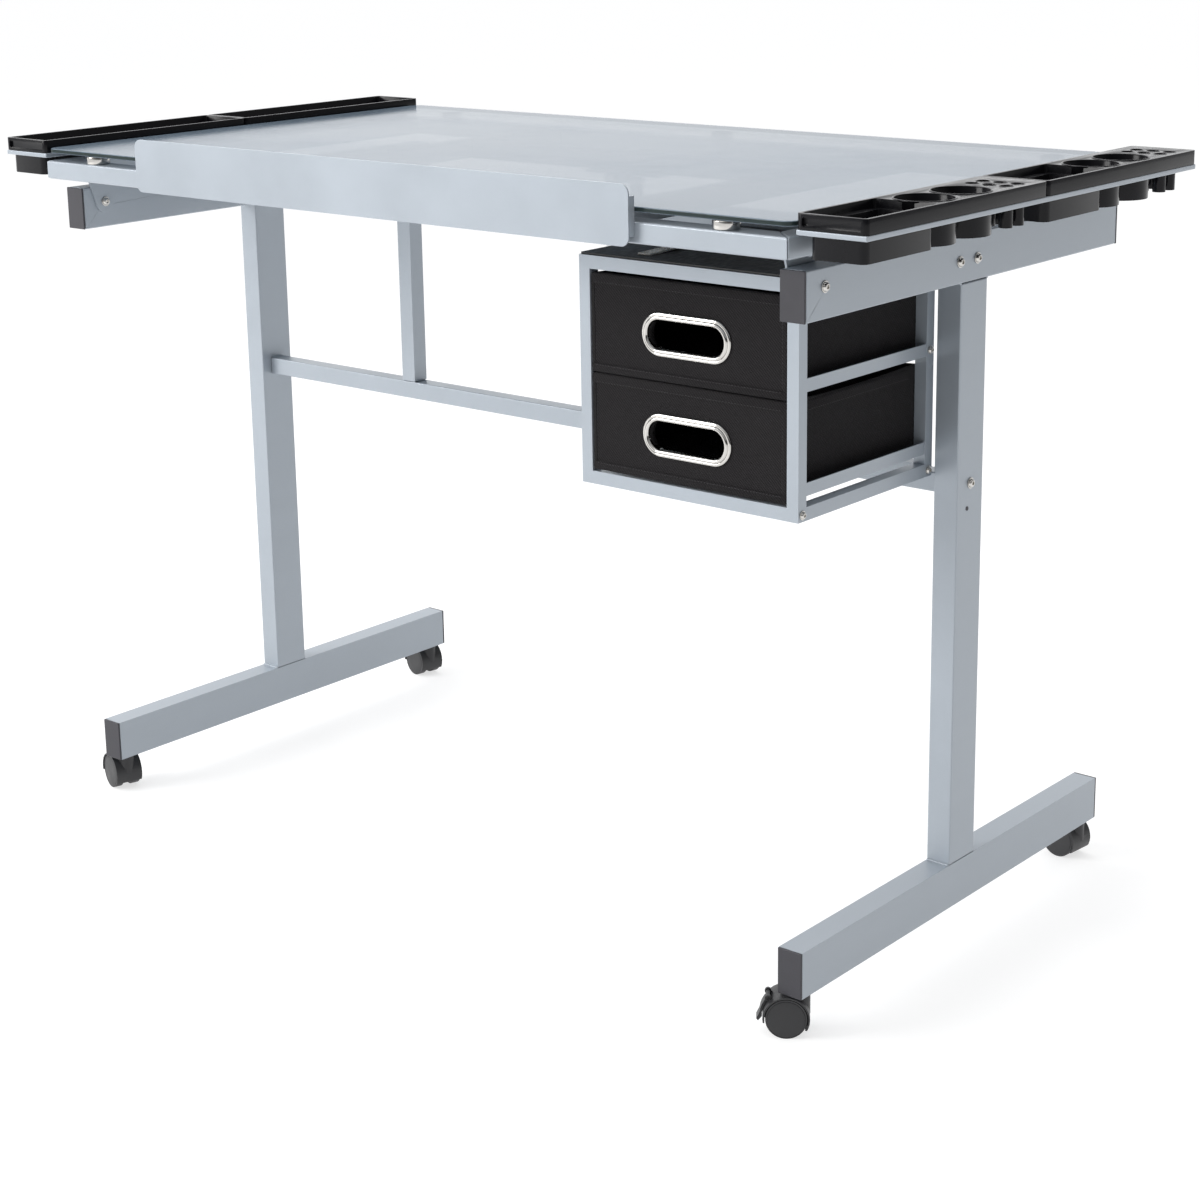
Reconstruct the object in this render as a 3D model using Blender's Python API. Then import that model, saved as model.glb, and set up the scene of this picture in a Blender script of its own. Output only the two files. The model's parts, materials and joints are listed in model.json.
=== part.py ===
"""Height-fixed craft and sewing table: a tilting glass top on two T-legs with castors.

Metres, +Z up. +X runs along the table's length and -Y is the side where a person sits.
The origin is on the floor, in the middle of the table's outline.
Each sub-part is one object; empties carry the pieces that move.
"""

import math

import bmesh
import bpy
import numpy as np
from mathutils import Matrix, Vector

# ---- Clearances ------------------------------------------------------------
GAP = 0.0003                # between pieces that touch
PIVOT_CLEARANCE = 0.0003    # radial, between a pin and its hole
SLIDE_CLEARANCE = 0.0012    # between a drawer and the cabinet around it

# ---- Legs ------------------------------------------------------------------
TUBE_WIDTH = 0.027          # narrow side of the leg tube
TUBE_DEPTH = 0.047          # wide side of the leg tube
TUBE_WALL = 0.0015
FOOT_LENGTH = 0.560
ARM_LENGTH = 0.560
POST_HEIGHT = 0.599
CAP_PLATE = 0.0022          # thickness of an end cap outside its tube
CAP_PLUG = 0.010            # length of an end cap inside its tube

# ---- Rear ladder -----------------------------------------------------------
BAR = 0.020                 # square tube of the ladder
BAR_WALL = 0.0015
LADDER_LOW = 0.385          # lower bar's underside above the foot's top
STRUT_OFFSET = 0.2477       # each strut's centre from the middle

# ---- Castors ---------------------------------------------------------------
CASTOR_HEIGHT = 0.0435      # floor to the foot's underside
WHEEL_RADIUS = 0.020
WHEEL_WIDTH = 0.0095
WHEEL_SIDES = 28
WHEEL_SPACING = 0.0215      # between the middles of a castor's two wheels
AXLE_RADIUS = 0.003
HUB_THICKNESS = 0.0085      # web of the housing between the wheels
HOOD_RADIUS = 0.0226
HOOD_WALL = 0.0016
HOOD_WIDTH = 0.0325
CASTOR_TRAIL = 0.0135       # axle behind the stem
STEM_RADIUS = 0.004
STEM_LENGTH = 0.018
NECK_RADIUS = 0.0095
CASTOR_INSET = 0.016        # stem from the foot's end
CASTOR_TURN = {"front_left": 164.0, "rear_left": 168.0, "front_right": 216.0, "rear_right": 174.0}
BRAKED_CASTORS = ("front_right", "rear_left")
BRAKE_WIDTH = 0.012
BRAKE_ANGLE = 47.0          # lever's pin above the axle, in degrees
BRAKE_THICKNESS = 0.0024
BRAKE_EYE_RADIUS = 0.00206

# ---- Tilting top -----------------------------------------------------------
TOP_WIDTH = 1.033
TOP_DEPTH = 0.600
TOP_OVERHANG = 0.028        # top's front ahead of the arms' front
FRAME_RISE = 0.0127         # arm's top to the frame's underside
RAIL_WIDTH = 0.028
RAIL_HEIGHT = 0.020
INNER_RAIL_OFFSET = 0.2535  # each inner rail's centre from the middle
MID_RAIL_SETBACK = 0.424    # middle rail's centre behind the frame's front
GLASS_THICKNESS = 0.005
GLASS_SETBACK = 0.0023      # glass behind the frame's front
GLASS_CORNER = 0.012
GLASS_WIDTH = 1.036
GLASS_DEPTH = 0.599
STANDOFF_RADIUS = 0.013
STANDOFF_HEIGHT = 0.0088
STANDOFF_SIDE = 0.440       # outer standoffs from the middle

# ---- Tilt hinge and prop ---------------------------------------------------
HINGE_SETBACK = 0.056       # axis behind the frame's front
HINGE_DROP = 0.0302         # axis below the frame's underside
HINGE_BOLT_RADIUS = 0.003
HINGE_HEAD_RADIUS = 0.0058
EAR_THICKNESS = 0.0025
EAR_RADIUS = 0.0125
EAR_FRONT = 0.011           # ear's flange ahead of the axis
EAR_BACK = 0.030            # ear's flange behind the axis
EAR_PLATE_AHEAD = 0.0115    # ear's plate ahead of its flange
TILT_LIMIT = 28.0           # degrees
PROP_PLATE_WIDTH = 0.104
PROP_PLATE_DEPTH = 0.024
PROP_PLATE_THICKNESS = 0.0025
PROP_LUG_WIDTH = 0.0130      # bracket's lug, between the prop's legs
PROP_LUG_RADIUS = 0.0046
PROP_PIN_RADIUS = 0.0025
PROP_EYE_RADIUS = 0.0042
PROP_PIN_AHEAD = 0.006      # pin ahead of the middle rail's front
PROP_PIN_DROP = 0.0052      # pin below the bracket's plate
PROP_LEG_WIDTH = 0.0175
PROP_LEG_THICKNESS = 0.003
PROP_LEG_OFFSET = 0.0180    # each leg's middle from the centre
PROP_LENGTH = 0.2000        # pin to foot rod
PROP_ROD_RADIUS = 0.004
PROP_RATIO = 1.077          # prop's swing back for each degree of tilt
RACK_THICKNESS = 0.003
RACK_OFFSET = 0.036         # each rack plate's middle from the centre
RACK_DEPTH_BELOW = 0.052    # rack's foot below the upper bar's top
RACK_CLEARANCE = 0.0036     # rod's path to the rack's edge
RACK_NOTCHES = 3
RACK_NOTCH_DEPTH = 0.0035

# ---- Ledge -----------------------------------------------------------------
LEDGE_WIDTH = 0.693
LEDGE_HEIGHT = 0.057
LEDGE_THICKNESS = 0.0016
LEDGE_STANDS_OFF = 0.0074   # plate's back from the frame's front
LEDGE_BELOW_FRAME = 0.002
LEDGE_CORNER = 0.009
LEDGE_RETURN_HEIGHT = 0.046 # top of its folded ends above its foot

# ---- Side trays ------------------------------------------------------------
TRAY_WIDTH = 0.073
TRAY_LENGTH = 0.3005
TRAY_HEIGHT = 0.0400
TRAY_RIM_HEIGHT = 0.0142
TRAY_WALL = 0.0018
TRAY_PAIR_GAP = 0.0012      # between the front and rear trays' rims
TRAY_BESIDE_FRAME = 0.0055  # tray rim from the frame's side
TRAY_FORWARD = -0.004       # front tray's front from the frame's front
TUB_INNER_STEP = 0.0106     # rim's inner edge to the tub's wall
TUB_OUTER_STEP = 0.0044     # rim's outer edge, and its ends, to the tub's wall
RIGHT_TUB_LENGTH = 0.1080
CUP_INSIDE_TUB = 0.0016     # cup's bore within half the tub's width
CUP_FIRST = 0.1410          # first cup's centre from the tray's front
CUP_PITCH = 0.0605
PEN_RADIUS = 0.0058
PEN_FIRST = 0.2505
PEN_PITCH = 0.0200
PEN_INSIDE_TUB = 0.0105     # outer pen hole's centre within half the tub's width
RING_ABOVE_FRAME = 0.0023
RING_HEIGHT = 0.0050
RING_BAR = 0.0038
RING_TAB = 0.020
RING_TAB_REACH = 0.020

# ---- Drawer cabinet --------------------------------------------------------
CABINET_TUBE = 0.013
CABINET_WIDTH = 0.260
CABINET_HEIGHT = 0.2265
CABINET_FRONT = 0.240       # cabinet's front ahead of the posts' middle
CABINET_TOP_DROP = 0.0165   # below the arm's top
CABINET_BESIDE_ARM = 0.009  # from the arm's inner face
RUNNER_LOW = 0.0230         # lower runner's underside above the cabinet's base
RUNNER_PITCH = 0.0980
RUNNER_HEIGHT = 0.0125
RUNNER_LIP = 0.0080         # lip past the inside of the posts
RUNNER_LIP_THICKNESS = 0.0016
COVER_THICKNESS = 0.0020
DRAWER_PANEL = 0.0060       # front panel's thickness
DRAWER_PANEL_HEIGHT = 0.0960
DRAWER_PANEL_DROP = 0.0100  # panel's foot below the drawer's floor
DRAWER_WALL = 0.0040
DRAWER_HEIGHT = 0.0870      # walls above the drawer's underside
DRAWER_SETBACK = 0.0015     # panel's face behind the cabinet's face
DRAWER_REAR_CLEARANCE = 0.008 # drawer's back, between the rear posts, from the cabinet's rear
GRIP_LENGTH = 0.106
GRIP_HEIGHT = 0.043
GRIP_OPENING_LENGTH = 0.083
GRIP_OPENING_HEIGHT = 0.029
GRIP_STANDS_OUT = 0.0036
GRIP_COLLAR = 0.0016
GRIP_DROP = 0.0025          # grip's centre below the panel's centre

# ---- Colours: red, green, blue, roughness, metallic -------------------------
SILVER_PAINT = (0.50, 0.55, 0.58, 0.38, 0.35)
BLACK_PLASTIC = (0.035, 0.035, 0.040, 0.45, 0.0)
GLOSS_BLACK = (0.015, 0.015, 0.018, 0.18, 0.0)
CHROME = (0.80, 0.80, 0.82, 0.10, 1.0)
ZINC_STEEL = (0.60, 0.60, 0.62, 0.30, 1.0)
SMOKED_GLASS = (0.55, 0.63, 0.67, 0.08, 0.0)
BLACK_FABRIC = (0.020, 0.020, 0.021, 0.90, 0.0)
BLACK_BOARD = (0.030, 0.030, 0.032, 0.60, 0.0)

# ---- Places that follow from the sizes --------------------------------------
FOOT_BASE = CASTOR_HEIGHT
FOOT_TOP = FOOT_BASE + TUBE_DEPTH
ARM_BASE = FOOT_TOP + POST_HEIGHT
ARM_TOP = ARM_BASE + TUBE_DEPTH
LEG_X = TOP_WIDTH / 2 - TUBE_WIDTH / 2
ARM_INNER = LEG_X - TUBE_WIDTH / 2
ARM_OUTER = LEG_X + TUBE_WIDTH / 2
FRAME_FRONT = -ARM_LENGTH / 2 - TOP_OVERHANG
FRAME_REAR = FRAME_FRONT + TOP_DEPTH
FRAME_BASE = ARM_TOP + FRAME_RISE
FRAME_TOP = FRAME_BASE + RAIL_HEIGHT
GLASS_BASE = FRAME_TOP + STANDOFF_HEIGHT
GLASS_TOP = GLASS_BASE + GLASS_THICKNESS
HINGE_Y = FRAME_FRONT + HINGE_SETBACK
HINGE_Z = FRAME_BASE - HINGE_DROP
LADDER_BASE = FOOT_TOP + LADDER_LOW
MID_RAIL_Y = FRAME_FRONT + MID_RAIL_SETBACK
PROP_PIN_Y = MID_RAIL_Y - RAIL_WIDTH / 2 - PROP_PIN_AHEAD
PROP_PIN_Z = FRAME_BASE - PROP_PLATE_THICKNESS - PROP_PIN_DROP
LEDGE_FRONT = FRAME_FRONT - LEDGE_STANDS_OFF - LEDGE_THICKNESS
OUTLINE_FRONT = LEDGE_FRONT
OUTLINE_REAR = max(FRAME_REAR, FOOT_LENGTH / 2, FRAME_FRONT - TRAY_FORWARD + 2 * TRAY_LENGTH + TRAY_PAIR_GAP)
OUTLINE_MIDDLE = (OUTLINE_FRONT + OUTLINE_REAR) / 2
RING_BASE = FRAME_TOP + RING_ABOVE_FRAME
RING_TOP = RING_BASE + RING_HEIGHT
TRAY_INNER = TOP_WIDTH / 2 + TRAY_BESIDE_FRAME
TRAY_OUTER = TRAY_INNER + TRAY_WIDTH
TRAYS_FRONT = FRAME_FRONT - TRAY_FORWARD
TUB_HALF_WIDTH = (TRAY_WIDTH - TUB_INNER_STEP - TUB_OUTER_STEP) / 2
CUP_RADIUS = TUB_HALF_WIDTH - CUP_INSIDE_TUB
PEN_SPREAD = TUB_HALF_WIDTH - PEN_INSIDE_TUB
TRAY_RIM_BASE = RING_TOP + GAP
TRAY_TOP = TRAY_RIM_BASE + TRAY_RIM_HEIGHT
CABINET_RIGHT = ARM_INNER - CABINET_BESIDE_ARM
CABINET_LEFT = CABINET_RIGHT - CABINET_WIDTH
CABINET_TOP = ARM_TOP - CABINET_TOP_DROP
CABINET_BASE = CABINET_TOP - CABINET_HEIGHT
CABINET_REAR = -TUBE_WIDTH / 2 - GAP


# ---- Scene and materials -----------------------------------------------------
def clear_scene():
    for obj in list(bpy.data.objects):
        bpy.data.objects.remove(obj, do_unlink=True)


def material(name, colour):
    found = bpy.data.materials.get(name)
    if found:
        return found
    made = bpy.data.materials.new(name)
    made.use_nodes = True
    shader = made.node_tree.nodes["Principled BSDF"]
    shader.inputs["Base Color"].default_value = (*colour[:3], 1.0)
    shader.inputs["Roughness"].default_value = colour[3]
    shader.inputs["Metallic"].default_value = colour[4]
    return made


def silver():
    return material("silver_paint", SILVER_PAINT)


def black_plastic():
    return material("black_plastic", BLACK_PLASTIC)


def gloss_black():
    return material("gloss_black", GLOSS_BLACK)


def chrome():
    return material("chrome", CHROME)


def zinc_steel():
    return material("zinc_steel", ZINC_STEEL)


def black_fabric():
    return material("black_fabric", BLACK_FABRIC)


# ---- Making shapes -----------------------------------------------------------
def empty(name, location, parent=None):
    made = bpy.data.objects.new(name, None)
    bpy.context.scene.collection.objects.link(made)
    made.parent = parent
    made.location = location
    return made


def finish(mesh_builder, name, finish_material, parent, smooth=False):
    """Turns a bmesh whose points are in the table's frame into an object under parent."""
    bmesh.ops.recalc_face_normals(mesh_builder, faces=mesh_builder.faces)
    mesh = bpy.data.meshes.new(name)
    place = parent_place(parent)
    mesh_builder.transform(Matrix.Translation(-place))
    mesh_builder.to_mesh(mesh)
    mesh_builder.free()
    if smooth:
        mesh.shade_smooth()
        mesh.set_sharp_from_angle(angle=math.radians(35))
    obj = bpy.data.objects.new(name, mesh)
    bpy.context.scene.collection.objects.link(obj)
    obj.parent = parent
    if finish_material:
        mesh.materials.append(finish_material)
    return obj


def parent_place(parent):
    """Where a parent empty lies in the table's frame, below the root empty."""
    place = Vector((0, 0, 0))
    while parent is not None and parent.name != "table":
        place += parent.location
        parent = parent.parent
    return place


def box(low, high):
    made = bmesh.new()
    add_box(made, low, high)
    return made


def add_box(made, low, high):
    low, high = Vector(low), Vector(high)
    size = high - low
    matrix = Matrix.Translation((low + high) / 2) @ Matrix.Diagonal((*size, 1))
    bmesh.ops.create_cube(made, size=1, matrix=matrix)


def rod(start, end, radius, segments=24):
    """A closed cylinder from start to end."""
    made = bmesh.new()
    add_rod(made, start, end, radius, segments)
    return made


def add_rod(made, start, end, radius, segments=24):
    start, end = Vector(start), Vector(end)
    along = end - start
    turn = along.to_track_quat("Z", "Y").to_matrix().to_4x4()
    bmesh.ops.create_cone(
        made,
        cap_ends=True,
        segments=segments,
        radius1=radius,
        radius2=radius,
        depth=along.length,
        matrix=Matrix.Translation((start + end) / 2) @ turn,
    )


def prism(outline, axis, low, high):
    """A closed outline, listed in the plane across axis, extruded from low to high along it."""
    made = bmesh.new()
    first = [made.verts.new(place_on(axis, point, low)) for point in outline]
    second = [made.verts.new(place_on(axis, point, high)) for point in outline]
    made.faces.new(first)
    made.faces.new(list(reversed(second)))
    for index in range(len(outline)):
        after = (index + 1) % len(outline)
        made.faces.new((first[index], first[after], second[after], second[index]))
    return made


def place_on(axis, point, along):
    if axis == "X":
        return (along, point[0], point[1])
    if axis == "Y":
        return (point[0], along, point[1])
    return (point[0], point[1], along)


def tube(low, high, axis, wall):
    """A box tube with open ends along axis."""
    across = [index for index in range(3) if "XYZ"[index] != axis]
    along = "XYZ".index(axis)
    outer = [(low[across[0]], low[across[1]]), (high[across[0]], high[across[1]])]
    loops = []
    for inset in (0.0, wall):
        (left, bottom), (right, top) = outer
        corners = (
            (left + inset, bottom + inset),
            (right - inset, bottom + inset),
            (right - inset, top - inset),
            (left + inset, top - inset),
        )
        loops.append(corners)
    made = bmesh.new()
    rings = []
    for corners, end in ((loops[0], low), (loops[0], high), (loops[1], high), (loops[1], low)):
        rings.append([made.verts.new(place_on(axis, corner, end[along])) for corner in corners])
    join_rings(made, rings + rings[:1])
    return made


def join_rings(made, rings):
    for ring, after in zip(rings, rings[1:]):
        count = len(ring)
        for index in range(count):
            following = (index + 1) % count
            made.faces.new((ring[index], ring[following], after[following], after[index]))


def stadium(length, height, centre, segments=10):
    """Points of a slot shape with round ends, in its own plane."""
    radius = height / 2
    half = length / 2 - radius
    points = []
    for side, start in ((1, -math.pi / 2), (-1, math.pi / 2)):
        for step in range(segments + 1):
            angle = start + math.pi * step / segments
            points.append(
                (centre[0] + side * half + radius * math.cos(angle), centre[1] + radius * math.sin(angle))
            )
    return points


def rounded_rectangle(low, high, radius, segments=4):
    points = []
    centres = (
        (high[0] - radius, high[1] - radius, 0),
        (low[0] + radius, high[1] - radius, 90),
        (low[0] + radius, low[1] + radius, 180),
        (high[0] - radius, low[1] + radius, 270),
    )
    for across, up, start in centres:
        for step in range(segments + 1):
            angle = math.radians(start + 90 * step / segments)
            points.append((across + radius * math.cos(angle), up + radius * math.sin(angle)))
    return points


def combine(target, operation, pieces):
    """Unites other closed meshes with target, or cuts them from it, and keeps the result."""
    for number, piece in enumerate(pieces):
        mesh = bpy.data.meshes.new(f"{target.name}_{operation.lower()}_{number}")
        bmesh.ops.recalc_face_normals(piece, faces=piece.faces)
        piece.transform(Matrix.Translation(-parent_place(target.parent)))
        piece.to_mesh(mesh)
        piece.free()
        helper = bpy.data.objects.new(mesh.name, mesh)
        bpy.context.scene.collection.objects.link(helper)
        helper.matrix_world = target.matrix_world
        modifier = target.modifiers.new("shape", "BOOLEAN")
        modifier.operation = operation
        modifier.solver = "EXACT"
        modifier.object = helper
        graph = bpy.context.evaluated_depsgraph_get()
        shaped = bpy.data.meshes.new_from_object(target.evaluated_get(graph))
        target.modifiers.clear()
        old = target.data
        target.data = shaped
        bpy.data.meshes.remove(old)
        shaped.name = target.name
        bpy.data.objects.remove(helper, do_unlink=True)
        bpy.data.meshes.remove(mesh)
    return target


def unite(target, *pieces):
    bpy.context.view_layer.update()
    return combine(target, "UNION", pieces)


def cut(target, *pieces):
    bpy.context.view_layer.update()
    return combine(target, "DIFFERENCE", pieces)


def smooth_edges(obj):
    obj.data.shade_smooth()
    obj.data.set_sharp_from_angle(angle=math.radians(35))


def bevel_edges(obj, width, segments=2):
    modifier = obj.modifiers.new("edge", "BEVEL")
    modifier.width = width
    modifier.segments = segments
    modifier.limit_method = "ANGLE"
    modifier.angle_limit = math.radians(50)
    modifier.use_clamp_overlap = True


# ---- Legs and ladder -----------------------------------------------------------
def leg(frame, side, name):
    x = side * LEG_X
    west, east = x - TUBE_WIDTH / 2, x + TUBE_WIDTH / 2
    foot = finish(
        tube((west, -FOOT_LENGTH / 2, FOOT_BASE), (east, FOOT_LENGTH / 2, FOOT_TOP), "Y", TUBE_WALL),
        f"foot_{name}",
        silver(),
        frame,
    )
    stem_holes = []
    for end in (-1, 1):
        y = end * (FOOT_LENGTH / 2 - CASTOR_INSET)
        radius = STEM_RADIUS + PIVOT_CLEARANCE
        stem_holes.append(rod((x, y, FOOT_BASE - 0.01), (x, y, FOOT_BASE + TUBE_DEPTH / 2), radius))
    cut(foot, *stem_holes)
    finish(
        tube(
            (west, -TUBE_DEPTH / 2, FOOT_TOP + GAP),
            (east, TUBE_DEPTH / 2, ARM_BASE - GAP),
            "Z",
            TUBE_WALL,
        ),
        f"post_{name}",
        silver(),
        frame,
    )
    arm = finish(
        tube((west, -ARM_LENGTH / 2, ARM_BASE), (east, ARM_LENGTH / 2, ARM_TOP), "Y", TUBE_WALL),
        f"arm_{name}",
        silver(),
        frame,
    )
    bolt_hole = HINGE_BOLT_RADIUS + PIVOT_CLEARANCE
    cut(arm, rod((west - 0.01, HINGE_Y, HINGE_Z), (east + 0.01, HINGE_Y, HINGE_Z), bolt_hole))
    for tube_name, length, base in (("foot", FOOT_LENGTH, FOOT_BASE), ("arm", ARM_LENGTH, ARM_BASE)):
        for end, end_name in ((-1, "front"), (1, "rear")):
            end_cap(frame, f"{tube_name}_cap_{end_name}_{name}", x, end * length / 2, end, base)


def end_cap(frame, name, x, y, end, base):
    """A plastic cap: a plate outside the tube and a plug inside it."""
    plate_half = TUBE_WIDTH / 2
    plate = [y + end * GAP, y + end * (GAP + CAP_PLATE)]
    plug = [y - end * CAP_PLUG, y + end * (GAP + CAP_PLATE / 2)]
    inset = TUBE_WALL + GAP
    cap = finish(
        box((x - plate_half, min(plate), base), (x + plate_half, max(plate), base + TUBE_DEPTH)),
        name,
        black_plastic(),
        frame,
    )
    unite(
        cap,
        box(
            (x - plate_half + inset, min(plug), base + inset),
            (x + plate_half - inset, max(plug), base + TUBE_DEPTH - inset),
        ),
    )


def ladder(frame):
    """The lower bar, the two struts and the upper bar that carries the prop's racks."""
    half = ARM_INNER - GAP
    finish(
        tube((-half, -BAR / 2, LADDER_BASE), (half, BAR / 2, LADDER_BASE + BAR), "X", BAR_WALL),
        "lower_bar",
        silver(),
        frame,
    )
    for side, name in ((-1, "left"), (1, "right")):
        x = side * STRUT_OFFSET
        finish(
            tube(
                (x - BAR / 2, -BAR / 2, LADDER_BASE + BAR + GAP),
                (x + BAR / 2, BAR / 2, ARM_BASE - GAP),
                "Z",
                BAR_WALL,
            ),
            f"strut_{name}",
            silver(),
            frame,
        )
    upper = finish(
        tube((-half, -TUBE_WIDTH / 2, ARM_BASE), (half, TUBE_WIDTH / 2, ARM_TOP), "X", TUBE_WALL),
        "upper_bar",
        silver(),
        frame,
    )
    racks = []
    for side in (-1, 1):
        middle = side * RACK_OFFSET
        racks.append(prism(rack_outline(), "X", middle - RACK_THICKNESS / 2, middle + RACK_THICKNESS / 2))
    unite(upper, *racks)


def prop_foot(tilt):
    """Where the prop's foot rod lies, across and up, at a tilt in degrees."""
    turn = math.radians(tilt)
    across, up = PROP_PIN_Y - HINGE_Y, PROP_PIN_Z - HINGE_Z
    pin_y = HINGE_Y + across * math.cos(turn) - up * math.sin(turn)
    pin_z = HINGE_Z + across * math.sin(turn) + up * math.cos(turn)
    lean = turn * (1 - PROP_RATIO)
    return np.array((pin_y + PROP_LENGTH * math.sin(lean), pin_z - PROP_LENGTH * math.cos(lean)))


def rack_outline():
    """A plate behind the upper bar whose notched edge runs just inside the foot rod's path."""
    root = TUBE_WIDTH / 2 - TUBE_WALL / 2
    top = ARM_TOP - 0.004
    foot = ARM_TOP - RACK_DEPTH_BELOW
    offset = PROP_ROD_RADIUS + RACK_CLEARANCE
    edge = []
    tilts = np.linspace(TILT_LIMIT, TILT_LIMIT - 2.2 * RACK_NOTCHES, 2 * RACK_NOTCHES + 1)
    for number, tilt in enumerate(tilts):
        here, after = prop_foot(tilt), prop_foot(tilt - 0.1)
        along = (after - here) / np.linalg.norm(after - here)
        inward = np.array((along[1], -along[0]))
        depth = offset + (RACK_NOTCH_DEPTH if number % 2 == 0 else 0)
        edge.append(here + inward * depth)
    points = [(root, ARM_BASE + 0.003), (root, top), (edge[0][0], top)]
    points += [tuple(point) for point in edge if foot < point[1] < top]
    points.append((root + 0.004, min(ARM_BASE + 0.003, points[-1][1])))
    return points


# ---- Castors ---------------------------------------------------------------
def castor(frame, name, x, y):
    """A twin-wheel castor; its empties stand on the swivel axis and on the axle."""
    angle = math.radians(CASTOR_TURN[name])
    trail = Vector((math.cos(angle), math.sin(angle), 0))
    lateral = Vector((-trail.y, trail.x, 0))
    stem = Vector((x, y, 0))
    axle = stem + trail * CASTOR_TRAIL + Vector((0, 0, WHEEL_RADIUS))
    swivel = empty(f"swivel_{name}", stem + Vector((0, 0, FOOT_BASE)), frame)
    hood = castor_hood(swivel, name, stem, axle, trail, lateral)
    roll = empty(f"axle_{name}", axle - swivel.location, swivel)
    castor_wheels(roll, name, axle, lateral)
    if name in BRAKED_CASTORS:
        brake(hood, swivel, name, axle, trail, lateral)


def frame_of(axle, trail, lateral):
    """Turns points given as trail, lateral and height about the axle into the table's frame."""
    matrix = Matrix.Identity(4)
    for row in range(3):
        matrix[row][0] = trail[row]
        matrix[row][1] = lateral[row]
        matrix[row][3] = axle[row]
    return matrix


def placed(made, matrix):
    bmesh.ops.transform(made, matrix=matrix, verts=made.verts)
    return made


def castor_hood(swivel, name, stem, axle, trail, lateral):
    place = frame_of(axle, trail, lateral)
    half = HOOD_WIDTH / 2
    drum = placed(rod((0, -half, 0), (0, half, 0), HOOD_RADIUS, 32), place)
    hood = finish(drum, f"castor_housing_{name}", black_plastic(), swivel)
    neck_top = FOOT_BASE - 0.0012 - WHEEL_RADIUS
    neck = placed(rod((-CASTOR_TRAIL, 0, 0), (-CASTOR_TRAIL, 0, neck_top), NECK_RADIUS), place)
    stem_end = FOOT_BASE + STEM_LENGTH - WHEEL_RADIUS
    pin = placed(rod((-CASTOR_TRAIL, 0, 0), (-CASTOR_TRAIL, 0, stem_end), STEM_RADIUS, 16), place)
    unite(hood, neck, pin)
    if name in BRAKED_CASTORS:
        unite(hood, *brake_lugs(place))
    pocket = HOOD_RADIUS - HOOD_WALL
    web = HUB_THICKNESS / 2
    pockets = [
        placed(rod((0, web, 0), (0, half + 0.01, 0), pocket, 32), place),
        placed(rod((0, -half - 0.01, 0), (0, -web, 0), pocket, 32), place),
        placed(rod((0, -half, 0), (0, half, 0), AXLE_RADIUS + PIVOT_CLEARANCE, 16), place),
        placed(underside_cutter(), place),
    ]
    cut(hood, *pockets)
    smooth_edges(hood)
    return hood


def underside_cutter():
    """Everything below the housing's open edge, which falls toward the stem."""
    reach = HOOD_RADIUS + 0.01
    outline = [
        (-reach, -0.0115),
        (-0.006, -0.0105),
        (0.0, -0.0065),
        (0.006, -0.0060),
        (reach, -0.0020),
        (reach, -reach),
        (-reach, -reach),
    ]
    return prism(outline, "Y", -HOOD_WIDTH, HOOD_WIDTH)


def castor_wheels(roll, name, axle, lateral):
    trail = Vector((lateral.y, -lateral.x, 0))
    place = frame_of(axle, trail, lateral)
    wheels = finish(bmesh.new(), f"castor_wheels_{name}", black_plastic(), roll)
    made = bmesh.new()
    rings = []
    edge = 0.0012
    outer = WHEEL_SPACING / 2 + WHEEL_WIDTH / 2
    inner = WHEEL_SPACING / 2 - WHEEL_WIDTH / 2
    profile = [
        (0.0, outer),
        (WHEEL_RADIUS - edge, outer),
        (WHEEL_RADIUS, outer - edge),
        (WHEEL_RADIUS, inner + edge),
        (WHEEL_RADIUS - edge, inner),
        (AXLE_RADIUS, inner),
    ]
    profile += [(radius, -across) for radius, across in reversed(profile)]
    for radius, across in profile[1:-1]:
        ring = []
        for step in range(WHEEL_SIDES):
            angle = math.tau * step / WHEEL_SIDES + math.pi / 2
            ring.append(made.verts.new((radius * math.cos(angle), across, radius * math.sin(angle))))
        rings.append(ring)
    join_rings(made, rings)
    made.faces.new(rings[0])
    made.faces.new(list(reversed(rings[-1])))
    bmesh.ops.recalc_face_normals(made, faces=made.faces)
    placed(made, Matrix.Translation(-axle) @ place)
    made.to_mesh(wheels.data)
    made.free()
    smooth_edges(wheels)


def brake_pivot():
    """Trail and height of the brake lever's pin about the axle."""
    reach = HOOD_RADIUS + GAP + BRAKE_THICKNESS
    angle = math.radians(BRAKE_ANGLE)
    return reach * math.cos(angle), reach * math.sin(angle)


def brake_lugs(place):
    across, up = brake_pivot()
    lugs = []
    for side in (-1, 1):
        inner = side * (BRAKE_WIDTH / 2 + GAP)
        outer = side * (BRAKE_WIDTH / 2 + 0.0030)
        radius = BRAKE_THICKNESS
        lugs.append(
            placed(
                rod((across, min(inner, outer), up), (across, max(inner, outer), up), radius + 0.0008, 16), place
            )
        )
    return lugs


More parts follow.
